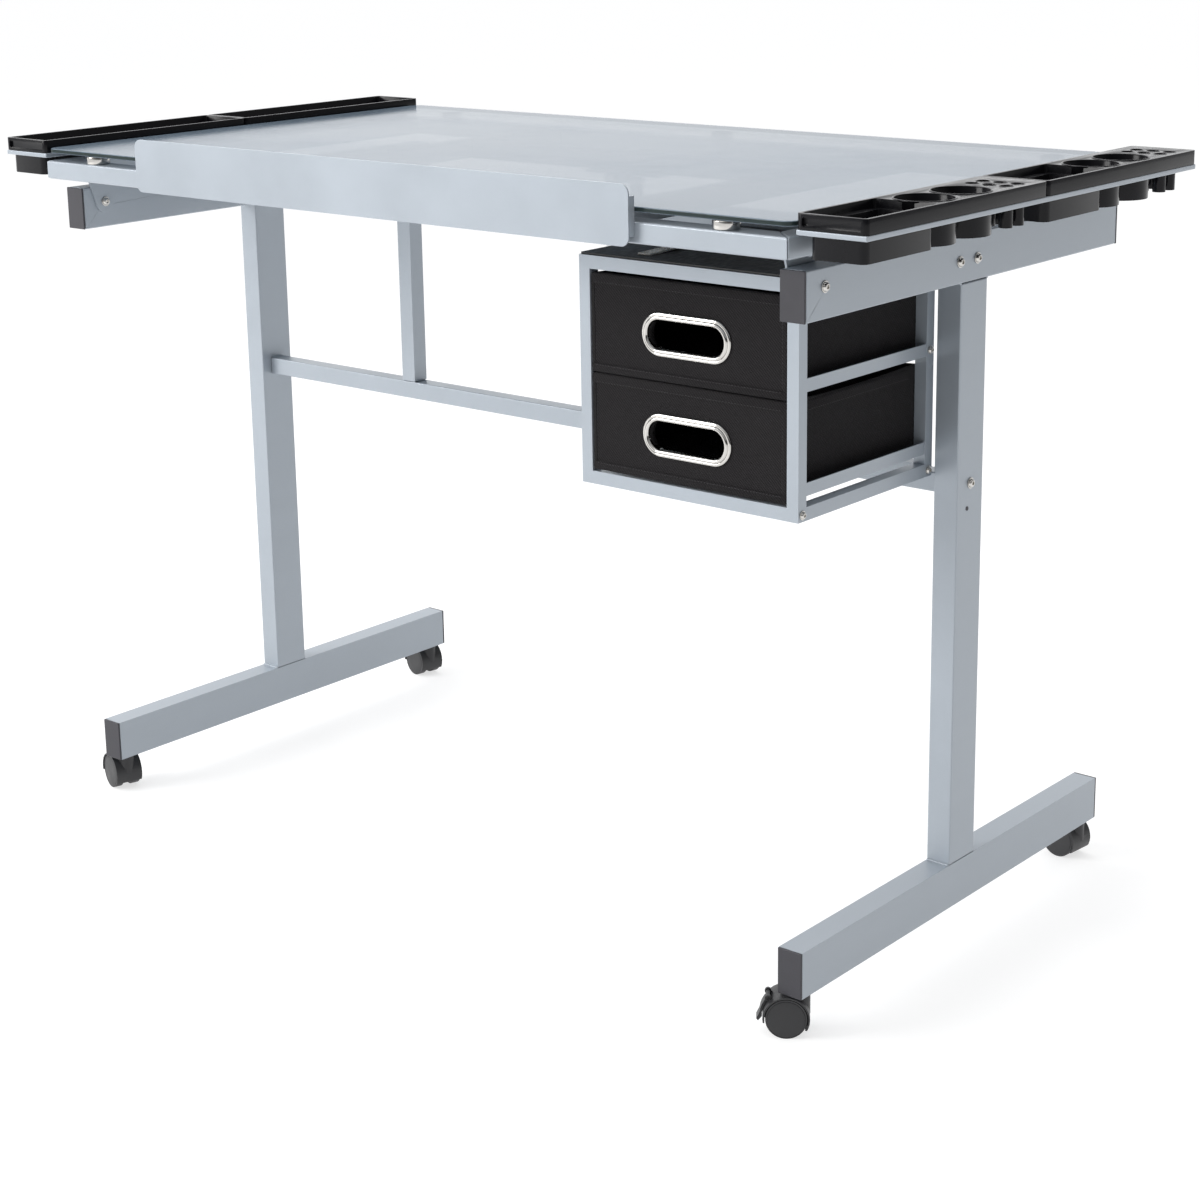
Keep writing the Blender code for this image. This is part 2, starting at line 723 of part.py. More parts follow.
def brake(hood, swivel, name, axle, trail, lateral):
    place = frame_of(axle, trail, lateral)
    across, up = brake_pivot()
    pin_radius = BRAKE_THICKNESS / 2
    reach = BRAKE_WIDTH / 2 + 0.0060
    cut(hood, placed(rod((across, -reach, up), (across, reach, up), pin_radius + PIVOT_CLEARANCE, 16), place))
    pivot = place @ Vector((across, 0, up))
    hinge = empty(f"brake_{name}", pivot - swivel.location, swivel)
    inside = HOOD_RADIUS + GAP + 0.0002
    outside = inside + BRAKE_THICKNESS
    half = BRAKE_WIDTH / 2
    outline = []
    arc = np.linspace(BRAKE_ANGLE - 2, -4, 6)
    for angle in arc:
        outline.append((inside * math.cos(math.radians(angle)), inside * math.sin(math.radians(angle))))
    outline.append((inside + BRAKE_THICKNESS / 2 + 0.0025, -0.0062))
    outline.append((outside + 0.0030, -0.0040))
    for angle in arc[-2::-1]:
        outline.append((outside * math.cos(math.radians(angle)), outside * math.sin(math.radians(angle))))
    plate = placed(prism(outline, "Y", -half, half), place)
    lever = finish(plate, f"brake_lever_{name}", black_plastic(), hinge)
    unite(
        lever,
        placed(rod((across, -half + GAP, up), (across, half - GAP, up), BRAKE_EYE_RADIUS, 16), place),
        placed(rod((across, -half - 0.0026, up), (across, half + 0.0026, up), pin_radius, 16), place),
    )
    smooth_edges(lever)


# ---- Tilting top -----------------------------------------------------------
def top_frame(top):
    half = TOP_WIDTH / 2
    inside = half - RAIL_WIDTH
    front, rear = FRAME_FRONT + RAIL_WIDTH, FRAME_REAR - RAIL_WIDTH
    ends = (
        ("top_rail_front", [(-half, FRAME_FRONT), (half, FRAME_FRONT), (inside, front), (-inside, front)]),
        ("top_rail_rear", [(half, FRAME_REAR), (-half, FRAME_REAR), (-inside, rear), (inside, rear)]),
    )
    for name, outline in ends:
        rail = finish(prism(outline, "Z", FRAME_BASE, FRAME_TOP), name, silver(), top)
        bevel_edges(rail, 0.0012, 1)
    slant = GAP * math.sqrt(2)
    for side, name in ((-1, "left"), (1, "right")):
        outer, inner = side * half, side * (half - RAIL_WIDTH)
        outline = [
            (outer, FRAME_FRONT + slant),
            (outer, FRAME_REAR - slant),
            (inner, FRAME_REAR - RAIL_WIDTH - slant),
            (inner, FRAME_FRONT + RAIL_WIDTH + slant),
        ]
        rail = finish(prism(outline, "Z", FRAME_BASE, FRAME_TOP), f"top_rail_{name}", silver(), top)
        bevel_edges(rail, 0.0012, 1)
        x = side * INNER_RAIL_OFFSET
        inner_rail = finish(
            box(
                (x - RAIL_WIDTH / 2, FRAME_FRONT + RAIL_WIDTH + GAP, FRAME_BASE),
                (x + RAIL_WIDTH / 2, FRAME_REAR - RAIL_WIDTH - GAP, FRAME_TOP),
            ),
            f"inner_rail_{name}",
            silver(),
            top,
        )
        bevel_edges(inner_rail, 0.0012, 1)
    middle_rail(top)


def middle_rail(top):
    half = INNER_RAIL_OFFSET - RAIL_WIDTH / 2 - GAP
    rail = finish(
        box((-half, MID_RAIL_Y - RAIL_WIDTH / 2, FRAME_BASE), (half, MID_RAIL_Y + RAIL_WIDTH / 2, FRAME_TOP)),
        "middle_rail",
        silver(),
        top,
    )
    plate = box(
        (-PROP_PLATE_WIDTH / 2, PROP_PIN_Y - PROP_PLATE_DEPTH / 4, FRAME_BASE - PROP_PLATE_THICKNESS),
        (PROP_PLATE_WIDTH / 2, MID_RAIL_Y, FRAME_BASE + 0.0005),
    )
    lug_outline = []
    for step in range(13):
        angle = math.pi + math.pi * step / 12
        lug_outline.append(
            (PROP_PIN_Y + PROP_LUG_RADIUS * math.cos(angle), PROP_PIN_Z + PROP_LUG_RADIUS * math.sin(angle))
        )
    lug_outline.append((PROP_PIN_Y + PROP_LUG_RADIUS, FRAME_BASE - PROP_PLATE_THICKNESS / 2))
    lug_outline.append((PROP_PIN_Y - PROP_LUG_RADIUS, FRAME_BASE - PROP_PLATE_THICKNESS / 2))
    lug = prism(lug_outline, "X", -PROP_LUG_WIDTH / 2, PROP_LUG_WIDTH / 2)
    unite(rail, plate, lug)
    hole = PROP_PIN_RADIUS + PIVOT_CLEARANCE
    ends = PROP_LUG_WIDTH
    cut(rail, rod((-ends, PROP_PIN_Y, PROP_PIN_Z), (ends, PROP_PIN_Y, PROP_PIN_Z), hole, 16))


def prop(top):
    """The stay that hangs under the top and stands in the racks when the top is raised."""
    hinge = empty("prop_hinge", (0, PROP_PIN_Y - HINGE_Y, PROP_PIN_Z - HINGE_Z), top)
    foot_z = PROP_PIN_Z - PROP_LENGTH
    reach = RACK_OFFSET + RACK_THICKNESS + 0.004
    pin = ((-PROP_LEG_OFFSET, PROP_PIN_Y, PROP_PIN_Z), (PROP_LEG_OFFSET, PROP_PIN_Y, PROP_PIN_Z))
    stay = finish(rod(*pin, PROP_PIN_RADIUS, 16), "tilt_prop", zinc_steel(), hinge)
    pieces = []
    for side in (-1, 1):
        west = side * PROP_LEG_OFFSET - PROP_LEG_WIDTH / 2
        east = west + PROP_LEG_WIDTH
        thickness = PROP_LEG_THICKNESS / 2
        ends = (west - 0.0003, PROP_PIN_Y, PROP_PIN_Z), (east + 0.0003, PROP_PIN_Y, PROP_PIN_Z)
        pieces.append(rod(*ends, PROP_EYE_RADIUS, 20))
        pieces.append(
            box((west, PROP_PIN_Y - thickness, foot_z), (east, PROP_PIN_Y + thickness, PROP_PIN_Z - 0.001))
        )
    pieces.append(rod((-reach, PROP_PIN_Y, foot_z), (reach, PROP_PIN_Y, foot_z), PROP_ROD_RADIUS, 20))
    unite(stay, *pieces)
    smooth_edges(stay)


def glass_and_standoffs(top):
    front = FRAME_FRONT + GLASS_SETBACK
    outline = rounded_rectangle(
        (-GLASS_WIDTH / 2, front), (GLASS_WIDTH / 2, front + GLASS_DEPTH), GLASS_CORNER, 6
    )
    glass = finish(
        prism(outline, "Z", GLASS_BASE, GLASS_TOP), "glass_top", material("smoked_glass", SMOKED_GLASS), top
    )
    bevel_edges(glass, 0.0008, 1)
    rows = (("front", FRAME_FRONT + RAIL_WIDTH / 2), ("rear", FRAME_REAR - RAIL_WIDTH / 2))
    columns = (("left", -STANDOFF_SIDE), ("middle", 0.0), ("right", STANDOFF_SIDE))
    for row, y in rows:
        for column, x in columns:
            low, high = (x, y, FRAME_TOP + GAP), (x, y, GLASS_BASE - GAP)
            spacer = rod(low, high, STANDOFF_RADIUS, 24)
            finish(spacer, f"standoff_{row}_{column}", chrome(), top, smooth=True)


def hinges(frame, top):
    for side, name in ((-1, "left"), (1, "right")):
        outer = side * (ARM_INNER - GAP)
        inner = side * (ARM_INNER - GAP - EAR_THICKNESS)
        top_z = FRAME_BASE - GAP
        outline = [(HINGE_Y - EAR_FRONT - EAR_PLATE_AHEAD, top_z)]
        for step in range(13):
            angle = math.pi * 1.08 + math.pi * 0.84 * step / 12
            outline.append(
                (HINGE_Y + EAR_RADIUS * math.cos(angle), HINGE_Z + EAR_RADIUS * math.sin(angle))
            )
        outline.append((HINGE_Y + EAR_BACK, top_z))
        ear = finish(
            prism(outline, "X", min(outer, inner), max(outer, inner)), f"hinge_ear_{name}", zinc_steel(), top
        )
        flange = (inner, side * (ARM_INNER + 0.019))
        unite(
            ear,
            box(
                (min(flange), HINGE_Y - EAR_FRONT, top_z - EAR_THICKNESS),
                (max(flange), HINGE_Y + EAR_BACK, top_z),
            ),
        )
        hole = HINGE_BOLT_RADIUS + PIVOT_CLEARANCE
        span = sorted((outer + side * 0.01, inner - side * 0.01))
        cut(ear, rod((span[0], HINGE_Y, HINGE_Z), (span[1], HINGE_Y, HINGE_Z), hole, 24))
        hinge_bolt(frame, side, name)


def hinge_bolt(frame, side, name):
    """A bolt from outside the arm, through the arm and the ear, with its nut."""
    outside = side * (ARM_OUTER + GAP)
    head = side * (ARM_OUTER + GAP + 0.0032)
    inside = side * (ARM_INNER - 2 * GAP - EAR_THICKNESS)
    nut = side * (ARM_INNER - 2 * GAP - EAR_THICKNESS - 0.0040)
    bolt = finish(
        rod((head, HINGE_Y, HINGE_Z), (nut, HINGE_Y, HINGE_Z), HINGE_BOLT_RADIUS, 16),
        f"hinge_bolt_{name}",
        chrome(),
        frame,
    )
    unite(
        bolt,
        rod((outside, HINGE_Y, HINGE_Z), (head, HINGE_Y, HINGE_Z), HINGE_HEAD_RADIUS, 24),
        rod((inside, HINGE_Y, HINGE_Z), (nut, HINGE_Y, HINGE_Z), HINGE_HEAD_RADIUS * 0.95, 6),
    )


def ledge(top):
    """The stop along the front edge: it stands above the glass, and slides down flush."""
    base = FRAME_BASE - LEDGE_BELOW_FRAME
    carrier = empty("ledge_slide", (0, LEDGE_FRONT - HINGE_Y, base - HINGE_Z), top)
    half = LEDGE_WIDTH / 2
    outline = rounded_rectangle((-half, base), (half, base + LEDGE_HEIGHT), LEDGE_CORNER, 5)
    plate = prism(outline, "Y", LEDGE_FRONT, LEDGE_FRONT + LEDGE_THICKNESS)
    stop = finish(plate, "pencil_ledge", silver(), carrier)
    returns = []
    for side in (-1, 1):
        span = sorted((side * half, side * (half - LEDGE_THICKNESS)))
        returns.append(
            box(
                (span[0], LEDGE_FRONT + LEDGE_THICKNESS / 2, base + LEDGE_CORNER),
                (span[1], FRAME_FRONT - GAP, base + LEDGE_RETURN_HEIGHT),
            )
        )
    unite(stop, *returns)


# ---- Side trays --------------------------------------------------------------
def tray_ring(top, side, name):
    """A steel ring, welded to the frame's side, that both trays of one side drop into."""
    outer, inner = side * TRAY_OUTER, side * TRAY_INNER
    front = TRAYS_FRONT
    rear = front + 2 * TRAY_LENGTH + TRAY_PAIR_GAP
    ring = finish(
        box((min(outer, inner), front, RING_BASE), (max(outer, inner), rear, RING_TOP)),
        f"tray_ring_{name}",
        silver(),
        top,
    )
    openings = []
    middle = (front + rear) / 2
    edge = (side * (TRAY_OUTER - RING_BAR), side * (TRAY_INNER + RING_BAR))
    for low, high in ((front + RING_BAR, middle - RING_BAR / 2), (middle + RING_BAR / 2, rear - RING_BAR)):
        openings.append(box((min(edge), low, RING_BASE - 0.01), (max(edge), high, RING_TOP + 0.01)))
    cut(ring, *openings)
    tabs = []
    reach = (side * (TRAY_INNER + RING_BAR / 2), side * (TOP_WIDTH / 2 - RING_TAB_REACH))
    for y in (front + 0.070, middle, rear - 0.070):
        tabs.append(
            box(
                (min(reach), y - RING_TAB / 2, FRAME_TOP + GAP),
                (max(reach), y + RING_TAB / 2, RING_BASE + RING_HEIGHT * 0.6),
            )
        )
    unite(ring, *tabs)


def tray(top, side, name, row, front):
    """A moulded tray: a skirted rim, and a tub, cups and pen wells hanging through the ring."""
    place = Vector((side * (TRAY_INNER + TRAY_OUTER) / 2, front + TRAY_LENGTH / 2, TRAY_RIM_BASE))
    carrier = empty(f"tray_lift_{row}_{name}", place - top.location, top)
    outer, inner = side * TRAY_OUTER, side * TRAY_INNER
    span = sorted((outer, inner))
    dish = finish(
        box((span[0], front, TRAY_RIM_BASE), (span[1], front + TRAY_LENGTH, TRAY_TOP)),
        f"tray_{row}_{name}",
        gloss_black(),
        carrier,
    )
    wall = TRAY_WALL
    skirt = box(
        (span[0] + wall, front + wall, TRAY_RIM_BASE - 0.01),
        (span[1] - wall, front + TRAY_LENGTH - wall, TRAY_TOP - wall),
    )
    cut(dish, skirt)
    bottom = TRAY_TOP - TRAY_HEIGHT
    tub_span = sorted((side * (TRAY_OUTER - TUB_OUTER_STEP), side * (TRAY_INNER + TUB_INNER_STEP)))
    tub_front = front + TUB_OUTER_STEP
    tub_length = RIGHT_TUB_LENGTH if side > 0 else TRAY_LENGTH - 2 * TUB_OUTER_STEP
    deck = TRAY_TOP - wall / 2
    hulls = [box((tub_span[0], tub_front, bottom), (tub_span[1], tub_front + tub_length, deck))]
    hollows = [
        box(
            (tub_span[0] + wall, tub_front + wall, bottom + wall),
            (tub_span[1] - wall, tub_front + tub_length - wall, TRAY_TOP + 0.01),
        )
    ]
    if side > 0:
        middle = sum(tub_span) / 2
        for number in range(2):
            y = front + CUP_FIRST + number * CUP_PITCH
            hulls.append(rod((middle, y, bottom), (middle, y, deck), CUP_RADIUS + wall, 32))
            hollows.append(rod((middle, y, bottom + wall), (middle, y, TRAY_TOP + 0.01), CUP_RADIUS, 32))
        half = PEN_SPREAD + PEN_RADIUS + wall
        first = front + PEN_FIRST
        hulls.append(
            box(
                (middle - half, first - PEN_RADIUS - wall, bottom),
                (middle + half, first + PEN_PITCH + PEN_RADIUS + wall, deck),
            )
        )
        for along in range(2):
            for across in (-1, 0, 1):
                x, y = middle + across * PEN_SPREAD, first + along * PEN_PITCH
                hollows.append(rod((x, y, bottom + wall), (x, y, TRAY_TOP + 0.01), PEN_RADIUS, 12))
    unite(dish, *hulls)
    cut(dish, *hollows)
    smooth_edges(dish)


# ---- Drawer cabinet ------------------------------------------------------------
def cabinet(frame):
    bar = CABINET_TUBE
    low, high = CABINET_BASE, CABINET_TOP
    front, rear = -CABINET_FRONT, CABINET_REAR
    body = finish(
        box((CABINET_LEFT, front, low), (CABINET_LEFT + bar, front + bar, high)),
        "cabinet_frame",
        silver(),
        frame,
    )
    bars = []
    for x in (CABINET_LEFT, CABINET_RIGHT - bar):
        for y in (front, rear - bar):
            if (x, y) != (CABINET_LEFT, front):
                bars.append(box((x, y, low), (x + bar, y + bar, high)))
        for z in (low, high - bar):
            bars.append(box((x, front + bar / 2, z), (x + bar, rear - bar / 2, z + bar)))
    for y in (front, rear - bar):
        for z in (low, high - bar):
            bars.append(box((CABINET_LEFT + bar / 2, y, z), (CABINET_RIGHT - bar / 2, y + bar, z + bar)))
    for level in range(2):
        bars += runners(low + RUNNER_LOW + level * RUNNER_PITCH, front, rear)
    spacer_z = high - bar / 2
    bars.append(
        rod(
            (CABINET_RIGHT - bar / 2, rear - bar / 2, spacer_z),
            (ARM_INNER - GAP, rear - bar / 2, spacer_z),
            bar * 0.42,
            20,
        )
    )
    unite(body, *bars)
    finish(
        box(
            (CABINET_LEFT + 0.0015, front + 0.0015, high + GAP),
            (CABINET_RIGHT - 0.0015, rear - 0.0015, high + GAP + COVER_THICKNESS),
        ),
        "cabinet_cover",
        material("black_board", BLACK_BOARD),
        frame,
    )


def runners(base, front, rear):
    """An angle at each side: an upright web between the posts, and a lip that a drawer rests on."""
    made = []
    post = CABINET_TUBE
    for side, wall in ((1, CABINET_LEFT), (-1, CABINET_RIGHT)):
        web = sorted((wall + side * 0.001, wall + side * (0.001 + RUNNER_LIP_THICKNESS)))
        lip = sorted((wall + side * 0.001, wall + side * (post + RUNNER_LIP)))
        made.append(
            box((web[0], front + post / 2, base), (web[1], rear - post / 2, base + RUNNER_HEIGHT))
        )
        made.append(
            box((lip[0], front + post / 2 + 0.004, base), (lip[1], rear - post / 2, base + RUNNER_LIP_THICKNESS))
        )
    return made


def drawer(frame, level, name):
    floor = CABINET_BASE + RUNNER_LOW + level * RUNNER_PITCH + RUNNER_LIP_THICKNESS + GAP
    left = CABINET_LEFT + CABINET_TUBE + SLIDE_CLEARANCE
    right = CABINET_RIGHT - CABINET_TUBE - SLIDE_CLEARANCE
    face = -CABINET_FRONT + DRAWER_SETBACK
    back = CABINET_REAR - DRAWER_REAR_CLEARANCE
    panel_low = floor - DRAWER_PANEL_DROP
    slide = empty(f"drawer_slide_{name}", ((left + right) / 2, face, floor), frame)
    body = finish(
        box((left, face, panel_low), (right, face + DRAWER_PANEL, panel_low + DRAWER_PANEL_HEIGHT)),
        f"drawer_{name}",
        black_fabric(),
        slide,
    )
    unite(body, box((left, face + DRAWER_PANEL / 2, floor), (right, back, floor + DRAWER_HEIGHT)))
    wall = DRAWER_WALL
    inside = box(
        (left + wall, face + DRAWER_PANEL, floor + wall), (right - wall, back - wall, floor + DRAWER_HEIGHT + 0.05)
    )
    centre = ((left + right) / 2, panel_low + DRAWER_PANEL_HEIGHT / 2 - GRIP_DROP)
    sleeve = GRIP_OPENING_HEIGHT + 2 * (GRIP_COLLAR + GAP)
    hole = prism(
        stadium(GRIP_OPENING_LENGTH + sleeve - GRIP_OPENING_HEIGHT, sleeve, centre),
        "Y",
        face - 0.01,
        face + DRAWER_PANEL + 0.002,
    )
    cut(body, inside, hole)
    grip(slide, name, face, centre)


def grip(slide, name, face, centre):
    """A chromed oval ring with a sleeve through the drawer's panel."""
    outline = stadium(GRIP_LENGTH, GRIP_HEIGHT, centre)
    ring = finish(
        prism(outline, "Y", face - GAP - GRIP_STANDS_OUT, face - GAP), f"drawer_grip_{name}", chrome(), slide
    )
    sleeve = GRIP_OPENING_HEIGHT + 2 * GRIP_COLLAR
    collar = prism(
        stadium(GRIP_OPENING_LENGTH + sleeve - GRIP_OPENING_HEIGHT, sleeve, centre),
        "Y",
        face - GRIP_STANDS_OUT / 2,
        face + DRAWER_PANEL,
    )
    unite(ring, collar)
    opening = prism(
        stadium(GRIP_OPENING_LENGTH, GRIP_OPENING_HEIGHT, centre), "Y", face - 0.02, face + DRAWER_PANEL + 0.01
    )
    cut(ring, opening)
    smooth_edges(ring)


# ---- The table -----------------------------------------------------------------
def main():
    clear_scene()
    table = empty("table", (0, -OUTLINE_MIDDLE, 0))
    frame = empty("frame", (0, 0, 0), table)
    top = empty("tilt_axis", (0, HINGE_Y, HINGE_Z), table)
    for side, name in ((-1, "left"), (1, "right")):
        leg(frame, side, name)
        for end, row in ((-1, "front"), (1, "rear")):
            castor(frame, f"{row}_{name}", side * LEG_X, end * (FOOT_LENGTH / 2 - CASTOR_INSET))
    ladder(frame)
    cabinet(frame)
    drawer(frame, 0, "lower")
    drawer(frame, 1, "upper")
    top_frame(top)
    glass_and_standoffs(top)
    hinges(frame, top)
    prop(top)
    ledge(top)
    for side, name in ((-1, "left"), (1, "right")):
        tray_ring(top, side, name)
        tray(top, side, name, "front", TRAYS_FRONT)
        tray(top, side, name, "rear", TRAYS_FRONT + TRAY_LENGTH + TRAY_PAIR_GAP)


main()
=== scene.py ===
import json
import math

import bmesh
import bpy
from mathutils import Euler, Matrix, Vector


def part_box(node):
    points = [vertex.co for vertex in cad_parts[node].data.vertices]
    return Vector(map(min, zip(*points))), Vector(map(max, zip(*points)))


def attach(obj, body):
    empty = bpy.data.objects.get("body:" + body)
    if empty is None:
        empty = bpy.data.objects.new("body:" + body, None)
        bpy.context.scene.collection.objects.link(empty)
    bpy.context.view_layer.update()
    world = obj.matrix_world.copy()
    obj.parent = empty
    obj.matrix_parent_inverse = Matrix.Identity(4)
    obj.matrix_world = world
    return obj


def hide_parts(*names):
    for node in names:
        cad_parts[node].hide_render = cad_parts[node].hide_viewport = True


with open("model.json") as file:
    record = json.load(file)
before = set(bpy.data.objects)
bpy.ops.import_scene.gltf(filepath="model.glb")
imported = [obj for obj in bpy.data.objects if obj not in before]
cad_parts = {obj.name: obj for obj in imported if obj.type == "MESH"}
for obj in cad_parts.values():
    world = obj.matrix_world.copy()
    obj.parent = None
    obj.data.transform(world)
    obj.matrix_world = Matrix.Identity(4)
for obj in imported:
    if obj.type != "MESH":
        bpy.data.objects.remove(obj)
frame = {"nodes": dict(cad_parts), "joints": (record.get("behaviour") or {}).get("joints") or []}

bl_info = {
    "name": "Glass-top craft table",
    "version": (1, 0, 0),
    "blender": (4, 5, 0),
    "location": "View3D > Sidebar > Craft table",
    "description": "Finishes and small parts of a tilting glass-top craft table",
    "category": "Object",
}

NODES = frame["nodes"]
JOINTS = {joint["name"]: joint for joint in frame["joints"]}
CASTORS = ("front_left", "front_right", "rear_left", "rear_right")
SIDES = (("left", -1.0), ("right", 1.0))
LEVELS = ("lower", "upper")

# ---- Places of the frame's steel, in metres -------------------------------------
POST_LOW, POST_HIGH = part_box("post_right")
POST_Y = (POST_LOW.y + POST_HIGH.y) / 2
ARM_LOW, ARM_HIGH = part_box("arm_right")
FOOT_LOW, FOOT_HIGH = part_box("foot_right")
BAR_LOW, BAR_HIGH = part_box("lower_bar")
CABINET_LOW, CABINET_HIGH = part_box("cabinet_frame")
COVER_LOW, COVER_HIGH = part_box("cabinet_cover")
COVER_INSET = 0.0015
CABINET_SIDES = (COVER_LOW.x - COVER_INSET, COVER_HIGH.x + COVER_INSET)
STAND_OFF = 0.0002

# ---- Side trays: steps in from the outline, walls, and rows from the front --------
RIM_BAND = 0.0142
RIM_WALL = 0.0036
RIM_POCKET = 0.0085
TRAY_WALL = 0.0018
TUB_INNER_STEP = 0.0106
TUB_OUTER_STEP = 0.0044
TUB_OVERLAP = 0.0020
SHORT_TUB = 0.1080
CUP_RADIUS = 0.0274
CUP_ROWS = (0.1410, 0.2015)
CUP_SIDES = 56
CUP_TAPER = 0.97
PEN_RADIUS = 0.0058
PEN_WALL = 0.0011
PEN_FOOT = 0.0015
PEN_FLOOR = 0.0030
PEN_ROWS = (0.2505, 0.2705)
PEN_SPREAD = 0.0185
PEN_SIDES = 20
CLEAR_CUT = 0.0100

# ---- Drawers: panel, cloth box, hems, and the grips' beads ------------------------
PANEL_THICKNESS = 0.006
BIN_BASE = 0.010
BIN_HEIGHT = 0.0870
BIN_WALL = 0.0030
SIDE_SWELL = 0.0016
REAR_SWELL = 0.0020
RIM_SAG = 0.0030
HEM_PROUD = 0.0009
HEM_INSET = 0.0003
HEM_BITE = 0.001
LOWER_HEM = 0.85
BINDING_WIDTH = 0.0042
TAPE_START = 0.012
TAPE_LOW, TAPE_HIGH = 0.014, 0.0045
STITCH_LENGTH = 0.0024
STITCH_RADIUS = 0.00036
GRIP_SIDES = 72
GRIP_BEADS = ((0.0021, 0.0021, 0.0021), (0.0026, 0.0052, 0.0036))
GRIP_BACK = 0.0004
GRIP_BAND = 0.0074
GRIP_WALL = 0.0012

# ---- Castors -----------------------------------------------------------------------
WHEEL_RADIUS = 0.0200
WHEEL_WIDTH = 0.0095
WHEEL_SPACING = 0.0215
WHEEL_STEPS = ((0.0016, -0.0007), (0.0007, 0.0006), (0.0090, 0.0002))
AXLE_RADIUS = 0.0029
COLLAR_RADIUS = 0.0078
COLLAR_HEIGHT = 0.0010

# ---- Studio: the camera's place in metres and angles in degrees, lights in watts -----
CAMERA_PLACE = (1.6884, -1.9393 + POST_Y, 1.0738)
CAMERA_AZIMUTH, CAMERA_ELEVATION, CAMERA_ROLL = 40.380, 13.879, -0.910
CAMERA_LENS = 70.493
CAMERA_SHIFT = -0.120
LIGHTS = (
    ("key", (-2.6, -3.2, 2.2), (0, 0, 0.5), 2.2, 130.0, (1.0, 0.995, 0.985)),
    ("top", (-0.2, 0.2, 3.2), (0, 0, 0.4), 3.0, 40.0, (1.0, 1.0, 1.0)),
)
SKY_FALL = ("X", -0.9, 0.95, 1.25, 0.30)
SKY_BAND = (("Z", -0.02, 0.10, 0.0, 1.0), ("Z", 0.22, 0.42, 1.0, 0.0), ("Y", -0.35, 0.25, 0.80, 0.0))
SKY_COLOUR = (0.985, 0.99, 1.0, 1.0)
FLOOR_SIZE = 60.0
FLOOR_COLOUR = (0.45, 0.45, 0.45)
FLOOR_GLOW = 0.66
BOARD_COLOUR = (0.018, 0.018, 0.019)


# ---- Sizes and colours that a user would change -------------------------------
class TableSizes(bpy.types.PropertyGroup):
    tube_edge: bpy.props.FloatProperty(
        name="Tube edge", description="Radius of the steel tubes' corners", default=0.0016, unit="LENGTH"
    )
    rail_edge: bpy.props.FloatProperty(
        name="Rail edge", description="Radius of the small rails' corners", default=0.0010, unit="LENGTH"
    )
    plastic_edge: bpy.props.FloatProperty(
        name="Moulding edge",
        description="Radius of the plastic mouldings' edges",
        default=0.0007, unit="LENGTH",
    )
    bolt_radius: bpy.props.FloatProperty(
        name="Bolt head", description="Radius of the button-head bolts", default=0.0056, unit="LENGTH"
    )
    bolt_height: bpy.props.FloatProperty(
        name="Bolt height", description="Height of the button-head bolts", default=0.0034, unit="LENGTH"
    )
    weld_radius: bpy.props.FloatProperty(
        name="Weld bead", description="Radius of a weld bead", default=0.0022, unit="LENGTH"
    )
    stitch_pitch: bpy.props.FloatProperty(
        name="Stitch pitch", description="Distance between two stitches", default=0.0036, unit="LENGTH"
    )
    hem: bpy.props.FloatProperty(
        name="Hem", description="Height of the drawers' folded hems", default=0.0100, unit="LENGTH"
    )
    weave: bpy.props.FloatProperty(
        name="Weave", description="Distance between two threads of the cloth", default=0.0017, unit="LENGTH"
    )


class TableColours(bpy.types.PropertyGroup):
    paint: bpy.props.FloatVectorProperty(
        name="Paint", description="Powder coat on the steel", default=(0.375, 0.415, 0.460), subtype="COLOR"
    )
    cap: bpy.props.FloatVectorProperty(
        name="Caps", description="Plastic of the tube caps", default=(0.036, 0.035, 0.043), subtype="COLOR"
    )
    castor: bpy.props.FloatVectorProperty(
        name="Castors", description="Plastic of the castors", default=(0.022, 0.022, 0.024), subtype="COLOR"
    )
    tray: bpy.props.FloatVectorProperty(
        name="Trays",
        description="Glossy plastic of the trays",
        default=(0.0050, 0.0050, 0.0065), subtype="COLOR",
    )
    cloth: bpy.props.FloatVectorProperty(
        name="Cloth",
        description="Woven cover of the drawers",
        default=(0.0120, 0.0108, 0.0115), subtype="COLOR",
    )
    thread: bpy.props.FloatVectorProperty(
        name="Thread",
        description="Stitching of the drawers",
        default=(0.040, 0.038, 0.040), subtype="COLOR",
    )
    glass: bpy.props.FloatVectorProperty(
        name="Glass", description="Tint of the glass", default=(0.185, 0.240, 0.300), subtype="COLOR"
    )
    glass_edge: bpy.props.FloatVectorProperty(
        name="Glass edge",
        description="Colour of the glass seen through its edge",
        default=(0.018, 0.030, 0.030),
        subtype="COLOR",
    )
    chrome: bpy.props.FloatVectorProperty(
        name="Chrome", description="Bright plating", default=(0.60, 0.585, 0.56), subtype="COLOR"
    )
    zinc: bpy.props.FloatVectorProperty(
        name="Zinc", description="Zinc-plated steel", default=(0.56, 0.57, 0.58), subtype="COLOR"
    )
    strap: bpy.props.FloatVectorProperty(
        name="Strap",
        description="Cream webbing on the cabinet",
        default=(0.78, 0.75, 0.69), subtype="COLOR",
    )


def sizes():
    return bpy.context.scene.table_sizes


def colours():
    return bpy.context.scene.table_colours


